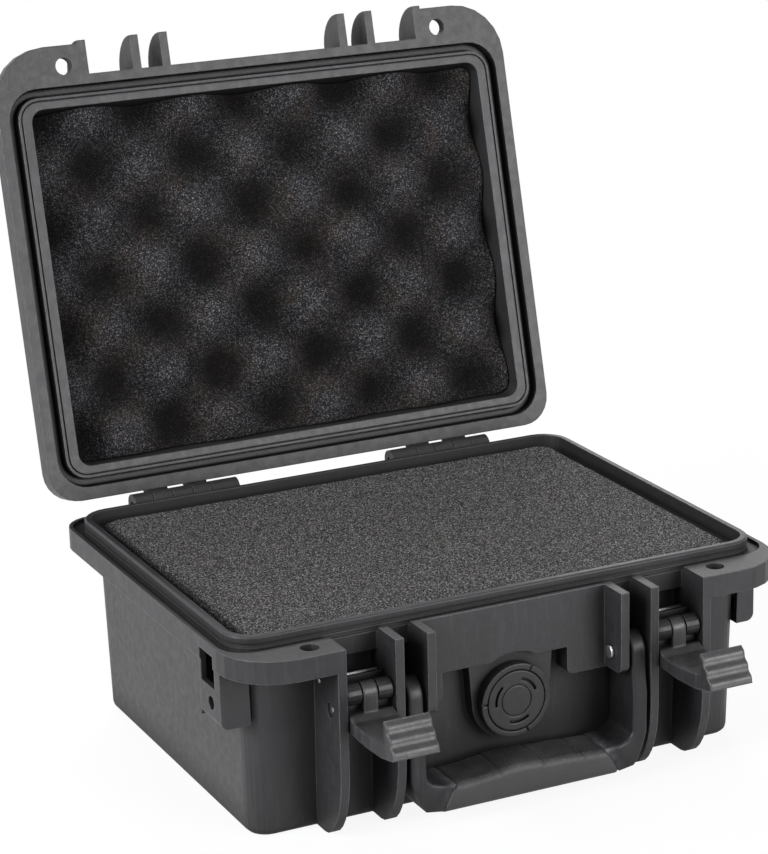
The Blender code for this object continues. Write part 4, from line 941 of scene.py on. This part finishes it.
@dataclass
class Linings:
    """The foam linings of base and lid."""

    block_top: float = 0.0883
    block_bottom: float = 0.0132
    block_pitch: float = 0.0032
    pad_top: float = 0.0129
    pad_bottom: float = 0.0029
    pad_pitch: float = 0.009
    corner: float = 0.0066
    taper_share: float = 0.0224
    crown_half_width: float = 0.1131
    crown_half_depth: float = 0.0810
    crown_corner: float = 0.006
    shoulder: float = 0.0863
    foot_inset_x: float = 0.00144
    foot_inset_y: float = 0.00186
    roof: float = 0.1146
    crests: float = 0.0889
    lid_half_width: float = 0.11305
    lid_half_depth: float = 0.08095
    lid_corner: float = 0.0055
    lid_inset: float = 0.0028
    lid_pitch: float = 0.0017
    lid_edge: float = 0.0007
    pose: LidPose = field(default_factory=LidPose)

    def base_slab(self, name: str, node: str, bottom: float, top: float, pitch: float) -> bpy.types.Object:
        """One layer of the base's foam, in the space of its solid.

        Args:
            name: the piece's name.
            node: the solid that it stands for.
            bottom: its lower face.
            top: its upper face.
            pitch: size of a grid cell.

        Returns:
            The piece.
        """
        _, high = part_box(node)
        inset = (top - bottom) * self.taper_share
        slab = FoamSheet(name, high.x, high.y, self.corner, bottom, top, inset, pitch)
        if top > self.shoulder:
            slab.half_width, slab.half_depth = self.crown_half_width, self.crown_half_depth
            slab.corner, slab.bottom_inset = self.crown_corner, 0.0
            reach_x, reach_y = high.x - self.crown_half_width, high.y - self.crown_half_depth
            slab.steps = (
                (0.0, 0.0, self.shoulder),
                (reach_x, reach_y, self.shoulder),
                (reach_x - self.foot_inset_x, reach_y - self.foot_inset_y, bottom),
            )
        piece = slab.build()
        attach(piece, "base")
        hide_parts(node)
        return piece

    def lid_sheet(self) -> bpy.types.Object:
        """The egg-crate foam in the lid's roof.

        Returns:
            The piece, swung open with the lid.
        """
        foam = EggCrate(
            "egg_crate_foam",
            self.lid_half_width,
            self.lid_half_depth,
            self.lid_corner,
            -self.roof,
            -self.crests,
            self.lid_inset,
            self.lid_pitch,
            self.lid_edge,
        )
        piece = foam.build()
        piece.data.transform(Matrix.Scale(-1, 4, Vector((0, 0, 1))))
        piece.data.flip_normals()
        piece.data.transform(self.pose.matrix())
        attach(piece, "lid")
        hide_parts("lid_foam")
        return piece

    def build(self, effects: Effects) -> None:
        """Make the linings and dress them.

        Args:
            effects: the shared groups.
        """
        block = OpenFoam(
            "speckled_block_foam",
            (0.049, 0.047, 0.048),
            cells=2700.0,
            glint=(0.66, 0.65, 0.65),
            pore=(0.004, 0.004, 0.004),
        ).build(effects)
        egg = OpenFoam(
            "egg_crate_open_foam",
            (0.010, 0.010, 0.0115),
            cells=2600.0,
            glint=(0.26, 0.255, 0.275),
            pore=(0.0015, 0.0015, 0.0015),
            warm=(0.034, 0.024, 0.018),
            warm_share=0.65,
            crest_attribute="crest",
        ).build(effects)
        sizes = (self.block_bottom, self.block_top, self.block_pitch)
        self.base_slab("foam_block", "base_foam_block", *sizes).data.materials.append(block)
        sizes = (self.pad_bottom, self.pad_top, self.pad_pitch)
        self.base_slab("foam_pad", "base_foam_pad", *sizes).data.materials.append(block)
        self.lid_sheet().data.materials.append(egg)


@dataclass
class Seal:
    """The rubber seal in the groove of the lid."""

    half_width: float = 0.1235
    half_depth: float = 0.0905
    corner: float = 0.0135
    outer_inset: float = -0.0003
    inner_inset: float = 0.0033
    low: float = 0.0914
    high: float = 0.0942
    section_round: float = 0.0011
    pose: LidPose = field(default_factory=LidPose)

    def build(self, finish: bpy.types.Material) -> bpy.types.Object:
        """Sweep the rounded section round the groove.

        Args:
            finish: the rubber.

        Returns:
            The seal.
        """
        middle_inset = (self.outer_inset + self.inner_inset) / 2
        half_section = (self.inner_inset - self.outer_inset) / 2
        half_height = (self.high - self.low) / 2
        section = MeshMaker.rounded_outline(half_section, half_height, self.section_round, 3)
        rings = []
        for u, v in section:
            inset = middle_inset + u
            outline = MeshMaker.rounded_outline(
                self.half_width - inset, self.half_depth - inset, self.corner - inset, 8
            )
            height = (self.low + self.high) / 2 + v
            rings.append([Vector((x, y, height)) for x, y in outline])
        piece = MeshMaker.loft("groove_seal", rings, Facing.LOOPED)
        piece.data.transform(self.pose.matrix())
        piece.data.materials.append(finish)
        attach(piece, "lid")
        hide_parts("lid_gasket")
        return piece


@dataclass
class Strap:
    """The handle's frame: two deep arms with mitred bends, a bar and a boss at each end."""

    arm_x: float = 0.0524
    pin_y: float = -0.1010
    pin_z: float = 0.0580
    centre_y: float = -0.1000
    half_depth: float = 0.0105
    boss_radius: float = 0.0078
    boss_half_width: float = 0.0048
    hub_radius: float = 0.0052
    bore_radius: float = 0.0024
    edge_round: float = 0.0014
    top_steps: int = 7
    top_angle: float = 82.0
    hub_chamfer: float = 0.0004
    hub_steps: int = 48
    inner: tuple[Spot, ...] = (
        (0.0489, 0.0490),
        (0.0489, 0.0400),
        (0.0488, 0.0240),
        (0.0481, 0.0218),
        (0.0462, 0.0202),
        (0.0420, 0.0187),
        (0.0356, 0.0178),
    )
    outer: tuple[Spot, ...] = (
        (0.0559, 0.0490),
        (0.0559, 0.0400),
        (0.0556, 0.0222),
        (0.0540, 0.0168),
        (0.0512, 0.0102),
        (0.0492, 0.0078),
        (0.0423, 0.0067),
    )
    core: tuple[Spot, ...] = ((0.0352, 0.0392), (0.0, 0.0))
    core_low: float = 0.0082
    core_high: float = 0.0164
    core_inset: float = 0.0020

    def ring(self, near: Spot, far: Spot, centre_y: float, half_depth: float) -> Ring:
        """A rounded ring between an inner and an outer point of the outline.

        Args:
            near: the inner point as X and Z.
            far: the outer point as X and Z.
            centre_y: the ring's middle along Y.
            half_depth: half its depth along Y.

        Returns:
            The ring.
        """
        start, end = Vector((near[0], centre_y, near[1])), Vector((far[0], centre_y, far[1]))
        middle, across = (start + end) / 2, (end - start).normalized()
        rounding = min(self.edge_round, half_depth * 0.6)
        outline = MeshMaker.rounded_outline((end - start).length / 2, half_depth, rounding, 4)
        return [middle + across * u + Vector((0, v, 0)) for u, v in outline]

    def half(self, side: int) -> list[Ring]:
        """The rings from one boss to the middle of the bar.

        Args:
            side: -1 for the left and 1 for the right.

        Returns:
            The rings.
        """
        rings = []
        for step in range(self.top_steps):
            angle = math.radians(self.top_angle * (1 - step / (self.top_steps - 1)))
            height = self.pin_z + self.boss_radius * math.sin(angle)
            near, far = (side * self.inner[0][0], height), (side * self.outer[0][0], height)
            rings.append(self.ring(near, far, self.pin_y, self.boss_radius * math.cos(angle)))
        for index, (near, far) in enumerate(zip(self.inner, self.outer)):
            near, far = (side * near[0], near[1]), (side * far[0], far[1])
            depth = self.half_depth if index else (self.half_depth + self.boss_radius) / 2
            rings.append(self.ring(near, far, self.centre_y, depth))
        for near_x, far_x in self.core:
            near, far = (side * near_x, self.core_high), (side * far_x, self.core_low)
            rings.append(self.ring(near, far, self.centre_y, self.half_depth - self.core_inset))
        return rings

    def boss(self, builder: bmesh.types.BMesh, side: int) -> None:
        """Add one boss with its bore to a mesh.

        Args:
            builder: the mesh.
            side: -1 for the left and 1 for the right.
        """
        half, radius, chamfer = self.boss_half_width, self.hub_radius, self.hub_chamfer
        profile = [(-half, self.bore_radius), (-half, radius - chamfer), (chamfer - half, radius)]
        profile += [(half - chamfer, radius), (half, radius - chamfer), (half, self.bore_radius)]
        rings = []
        for along, reach in profile:
            ring = []
            for step in range(self.hub_steps):
                angle = 2 * math.pi * step / self.hub_steps
                y, z = self.pin_y + reach * math.cos(angle), self.pin_z + reach * math.sin(angle)
                ring.append(builder.verts.new((side * self.arm_x + along, y, z)))
            rings.append(ring)
        for index, ring in enumerate(rings):
            MeshMaker.bridge(builder, rings[index - 1], ring)

    def build(self, finish: bpy.types.Material) -> bpy.types.Object:
        """Make the frame.

        Args:
            finish: the plastic.

        Returns:
            The frame.
        """
        left, right = self.half(-1), self.half(1)
        builder = bmesh.new()
        for rings in (left, right):
            layers = [[builder.verts.new(point) for point in ring] for ring in rings]
            for before, after in zip(layers, layers[1:]):
                MeshMaker.bridge(builder, before, after)
            builder.faces.new(layers[0])
            builder.faces.new(layers[-1])
        for side in (-1, 1):
            self.boss(builder, side)
        piece = MeshMaker.linked("handle_strap", builder)
        piece.data.materials.append(finish)
        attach(piece, "handle")
        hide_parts("handle_frame")
        return piece


@dataclass
class Grip:
    """The soft sleeve on the handle's bar: a straight foot, a wavy top and slanted ends."""

    end_top: float = 0.0356
    end_foot: float = 0.0423
    foot: float = 0.0058
    top: float = 0.0180
    centre_y: float = -0.1000
    half_depth: float = 0.0111
    corner: float = 0.0034
    neck: float = 0.0025
    crowns: tuple[Point, ...] = (
        (-0.0070, 0.0026, 0.0230),
        (0.0170, 0.0016, 0.0200),
    )
    creases: tuple[float, ...] = (-0.0165, 0.0060, 0.0270)
    crease_depth: float = 0.0005
    crease_width: float = 0.0006
    pinch: float = 0.0007
    pinch_start: float = 0.96
    rings_across: int = 180

    def rise(self, x: float) -> float:
        """How far the top stands over its ends at a place along the bar."""
        crown = max(high * math.exp(-(((x - place) / width) ** 2)) for place, high, width in self.crowns)
        return crown * (1 - (x / self.end_foot) ** 2)

    def ring(self, share: float, inset: float) -> Ring:
        """One ring of the sleeve.

        Args:
            share: its place from -1 at the left end to 1 at the right.
            inset: how far it lies under the outer surface.

        Returns:
            The ring.
        """
        middle = share * (self.end_top + self.end_foot) / 2
        top = self.top + self.rise(middle) - inset
        for place in self.creases:
            top -= self.crease_depth * math.exp(-(((middle - place) / self.crease_width) ** 2))
        foot = self.foot + inset
        past = max(0.0, (abs(share) - self.pinch_start) / (1 - self.pinch_start))
        pinch = 0.0 if inset else self.pinch * past**2
        half_z, half_y = (top - foot) / 2 - pinch, self.half_depth - inset - pinch
        lean = (self.end_foot - self.end_top) / (self.top - self.foot) * share
        outline = MeshMaker.rounded_outline(half_z, half_y, self.corner - min(inset, 0.002), 6)
        return [Vector((middle - lean * u, self.centre_y + v, (top + foot) / 2 + u)) for u, v in outline]

    def build(self, finish: bpy.types.Material) -> bpy.types.Object:
        """Make the sleeve with its open core.

        Args:
            finish: the rubber.

        Returns:
            The sleeve.
        """
        count = self.rings_across
        rings = [self.ring(2 * index / count - 1, 0.0) for index in range(count + 1)]
        rings += [self.ring(1.0, self.neck), self.ring(-1.0, self.neck)]
        piece = MeshMaker.loft("grip_sleeve", rings, Facing.LOOPED)
        piece.data.materials.append(finish)
        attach(piece, "handle")
        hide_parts("handle_grip")
        return piece


@dataclass
class StrapRamps:
    """The slanted back walls that close the strap loops on the case's ends."""

    plates: tuple[tuple[str, float], ...] = (
        ("strap_ramp_left", -0.1284),
        ("strap_ramp_right", 0.1241),
    )
    wall: float = 0.1166
    start_y: float = -0.0647
    end_y: float = -0.0520
    inner_y: float = -0.0600
    thickness: float = 0.0016
    low: float = 0.0516
    high: float = 0.0824

    def build(self, finish: bpy.types.Material) -> None:
        """Make both walls.

        Args:
            finish: the plastic of the shell.
        """
        for name, face in self.plates:
            side = math.copysign(1.0, face)
            outline = [
                (face, self.start_y),
                (side * self.wall, self.end_y),
                (side * self.wall, self.inner_y),
                (face - side * self.thickness, self.start_y),
            ]
            rings = [[Vector((x, y, z)) for x, y in outline] for z in (self.low, self.high)]
            piece = MeshMaker.loft(name, rings, Facing.CAPPED)
            piece.data.shade_flat()
            piece.data.materials.append(finish)
            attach(piece, "base")


@dataclass
class Mouldings:
    """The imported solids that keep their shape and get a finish."""

    shells: tuple[str, ...] = ("base_shell", "lid_shell")
    fittings: tuple[str, ...] = ("latch_link_left", "latch_link_right")
    levers: tuple[str, ...] = ("latch_lever_left", "latch_lever_right")
    valve: tuple[str, ...] = ("valve_body", "valve_cap")
    pins: tuple[str, ...] = tuple(
        f"{pin}_{side}"
        for pin in ("hinge_pin", "latch_base_pin", "latch_stop_pin", "latch_lever_pin", "handle_pin")
        for side in ("left", "right")
    )

    @staticmethod
    def dress(names: tuple[str, ...], finish: bpy.types.Material) -> None:
        """Give solids one finish.

        Args:
            names: the solids.
            finish: the material.
        """
        for name in names:
            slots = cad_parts[name].data.materials
            slots.clear()
            slots.append(finish)
            LOG.info("%s: %s", name, finish.name)

    def build(self, effects: Effects) -> bpy.types.Material:
        """Make the finishes and give them to the solids.

        Args:
            effects: the shared groups.

        Returns:
            The plastic of the fittings.
        """
        shell = MouldedPlastic("black_shell_plastic", (0.013, 0.0128, 0.0142))
        fitting = MouldedPlastic(
            "black_latch_plastic",
            (0.009, 0.009, 0.010),
            grains=2100.0,
            grain_depth=0.00005,
            low_rough=0.32,
            high_rough=0.44,
            edge_wear_and_highlight=12.0,
            scuffing=0.6,
            specular=0.26,
        )
        # The lever's ridges get scuffed wear and, through the wide edge mask, a painted highlight.
        lever = MouldedPlastic(
            "worn_and_highlit_lever_plastic",
            (0.016, 0.016, 0.017),
            grains=2100.0,
            grain_depth=0.00006,
            low_rough=0.30,
            high_rough=0.42,
            edge_radius=0.0017,
            edge_wear_and_highlight=4.0,
            scuffing=0.9,
            specular=0.42,
        )
        valve = MouldedPlastic(
            "black_valve_plastic",
            (0.009, 0.0085, 0.0095),
            grains=2600.0,
            grain_depth=0.00004,
            low_rough=0.34,
            high_rough=0.46,
            edge_radius=0.0010,
            edge_wear_and_highlight=4.0,
            scuffing=0.2,
        )
        shell_plastic = shell.build(effects)
        self.dress(self.shells, shell_plastic)
        StrapRamps().build(shell_plastic)
        fitting_plastic = fitting.build(effects)
        self.dress(self.fittings, fitting_plastic)
        self.dress(self.levers, lever.build(effects))
        self.dress(self.valve, valve.build(effects))
        steel = DrawnSteel("drawn_pin_steel", (0.80, 0.81, 0.83)).build(effects)
        self.dress(self.pins, steel)
        film = BreathingFilm("breathing_film", (0.75, 0.75, 0.74)).build(effects)
        self.dress(("valve_membrane",), film)
        return fitting_plastic


@dataclass
class Lamp:
    """One soft rectangular lamp."""

    name: str
    place: Point
    size: float
    power: float

    def build(self, target: Point) -> None:
        """Hang the lamp so that it looks at a point.

        Args:
            target: the point.
        """
        data = bpy.data.lights.new(self.name, "AREA")
        data.shape = "SQUARE"
        data.size = self.size
        data.energy = self.power
        lamp = bpy.data.objects.new(self.name, data)
        lamp.location = self.place
        lamp.rotation_euler = (Vector(target) - Vector(self.place)).to_track_quat("-Z", "Y").to_euler()
        bpy.context.scene.collection.objects.link(lamp)


@dataclass
class Studio:
    """Pale floor, white surroundings and soft lamps."""

    floor_half: float = 9.0
    floor_colour: Colour = (0.86, 0.88, 0.92)
    floor_light: Colour = (0.90, 0.91, 0.94)
    near: float = 0.22
    far: float = 0.95
    near_lift: float = 0.90
    sky: float = 0.24
    target: Point = (0.0, 0.0, 0.1)
    lamps: tuple[Lamp, ...] = (
        Lamp("key_lamp", (-2.2, -0.5, 1.0), 1.3, 88.0),
        Lamp("fill_lamp", (1.3, -1.9, 1.3), 1.4, 3.0),
        Lamp("back_lamp", (0.5, 1.7, 1.5), 1.2, 30.0),
        Lamp("low_lamp", (0.80, -1.60, 0.50), 1.0, 30.0),
    )

    def floor(self) -> None:
        """Lay the floor, which stays white to the camera away from the case."""
        builder = bmesh.new()
        half = self.floor_half
        spots = ((-half, -half), (half, -half), (half, half), (-half, half))
        builder.faces.new([builder.verts.new((x, y, 0.0)) for x, y in spots])
        plane = MeshMaker.linked("floor", builder)
        material = bpy.data.materials.new("studio_floor")
        material.use_nodes = True
        graph = Graph(material.node_tree)
        shader = material.node_tree.nodes["Principled BSDF"]
        place = graph.place()
        soft = graph.noise(place, 3.0, 2.0)
        graph.feed(shader.inputs["Base Color"], graph.tint(soft, self.floor_colour, self.floor_light))
        graph.feed(shader.inputs["Roughness"], graph.spread(soft, 0.3, 0.7, 0.6, 0.75))
        shader.inputs["Specular IOR Level"].default_value = 0.2
        glow = graph.node("ShaderNodeEmission")
        length = graph.node("ShaderNodeVectorMath", operation="LENGTH")
        graph.feed(length.inputs[0], place)
        lift = graph.spread(length.outputs["Value"], self.near, self.far, self.near_lift, 1.0)
        surface = material.node_tree.nodes["Material Output"].inputs["Surface"]
        graph.blend(graph.maths("MULTIPLY", lift, graph.sightlines()), shader, glow, surface)
        plane.data.materials.append(material)

    def surroundings(self) -> None:
        """Light the scene evenly, and show white behind it."""
        world = bpy.data.worlds.new("studio")
        world.use_nodes = True
        bpy.context.scene.world = world
        graph = Graph(world.node_tree)
        sky = world.node_tree.nodes["Background"]
        sky.inputs["Color"].default_value = (1.0, 1.0, 1.0, 1.0)
        sky.inputs["Strength"].default_value = self.sky
        white = graph.node("ShaderNodeBackground")
        white.inputs["Color"].default_value = (1.0, 1.0, 1.0, 1.0)
        surface = world.node_tree.nodes["World Output"].inputs["Surface"]
        graph.blend(graph.sightlines(), sky, white, surface)

    def build(self) -> None:
        """Set up floor, surroundings and lamps."""
        self.floor()
        self.surroundings()
        for lamp in self.lamps:
            lamp.build(self.target)
        bpy.context.scene.view_settings.view_transform = "Standard"
        LOG.info("studio: %d lamps", len(self.lamps))


@dataclass
class Camera:
    """A camera at a known place, looking along a known direction."""

    place: Point = (-0.53240, -1.08646, 0.51266)
    ahead: Point = (0.41273, 0.86117, -0.29671)
    roll: float = -1.43
    lens: float = 122.244
    sensor: float = 36.0

    def build(self) -> None:
        """Add the camera and make it the scene's own."""
        data = bpy.data.cameras.new("camera")
        data.lens = self.lens
        data.sensor_width = self.sensor
        data.clip_start = 0.05
        data.clip_end = 50.0
        camera = bpy.data.objects.new("camera", data)
        bpy.context.scene.collection.objects.link(camera)
        ahead = Vector(self.ahead).normalized()
        right = ahead.cross(Vector((0, 0, 1))).normalized()
        up = right.cross(ahead)
        turn = math.radians(self.roll)
        rolled_right = right * math.cos(turn) + up * math.sin(turn)
        rolled_up = up * math.cos(turn) - right * math.sin(turn)
        rotation = Matrix((rolled_right, rolled_up, -ahead)).transposed().to_4x4()
        camera.matrix_world = Matrix.Translation(self.place) @ rotation
        bpy.context.scene.camera = camera


def main() -> None:
    """Dress the case and light it."""
    logging.basicConfig(level=logging.INFO, format="%(name)s %(message)s")
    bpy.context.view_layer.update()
    effects = Effects()
    rubber = SoftRubber("black_seal_rubber", (0.010, 0.010, 0.011)).build(effects)
    grip = SoftRubber("black_grip_rubber", (0.012, 0.012, 0.013), grains=2000.0).build(effects)
    Camera().build()
    fitting_plastic = Mouldings().build(effects)
    Mouldings.dress(("valve_seal",), rubber)
    Linings().build(effects)
    Seal().build(rubber)
    Strap().build(fitting_plastic)
    Grip().build(grip)
    Studio().build()


if __name__ == "__main__":
    main()
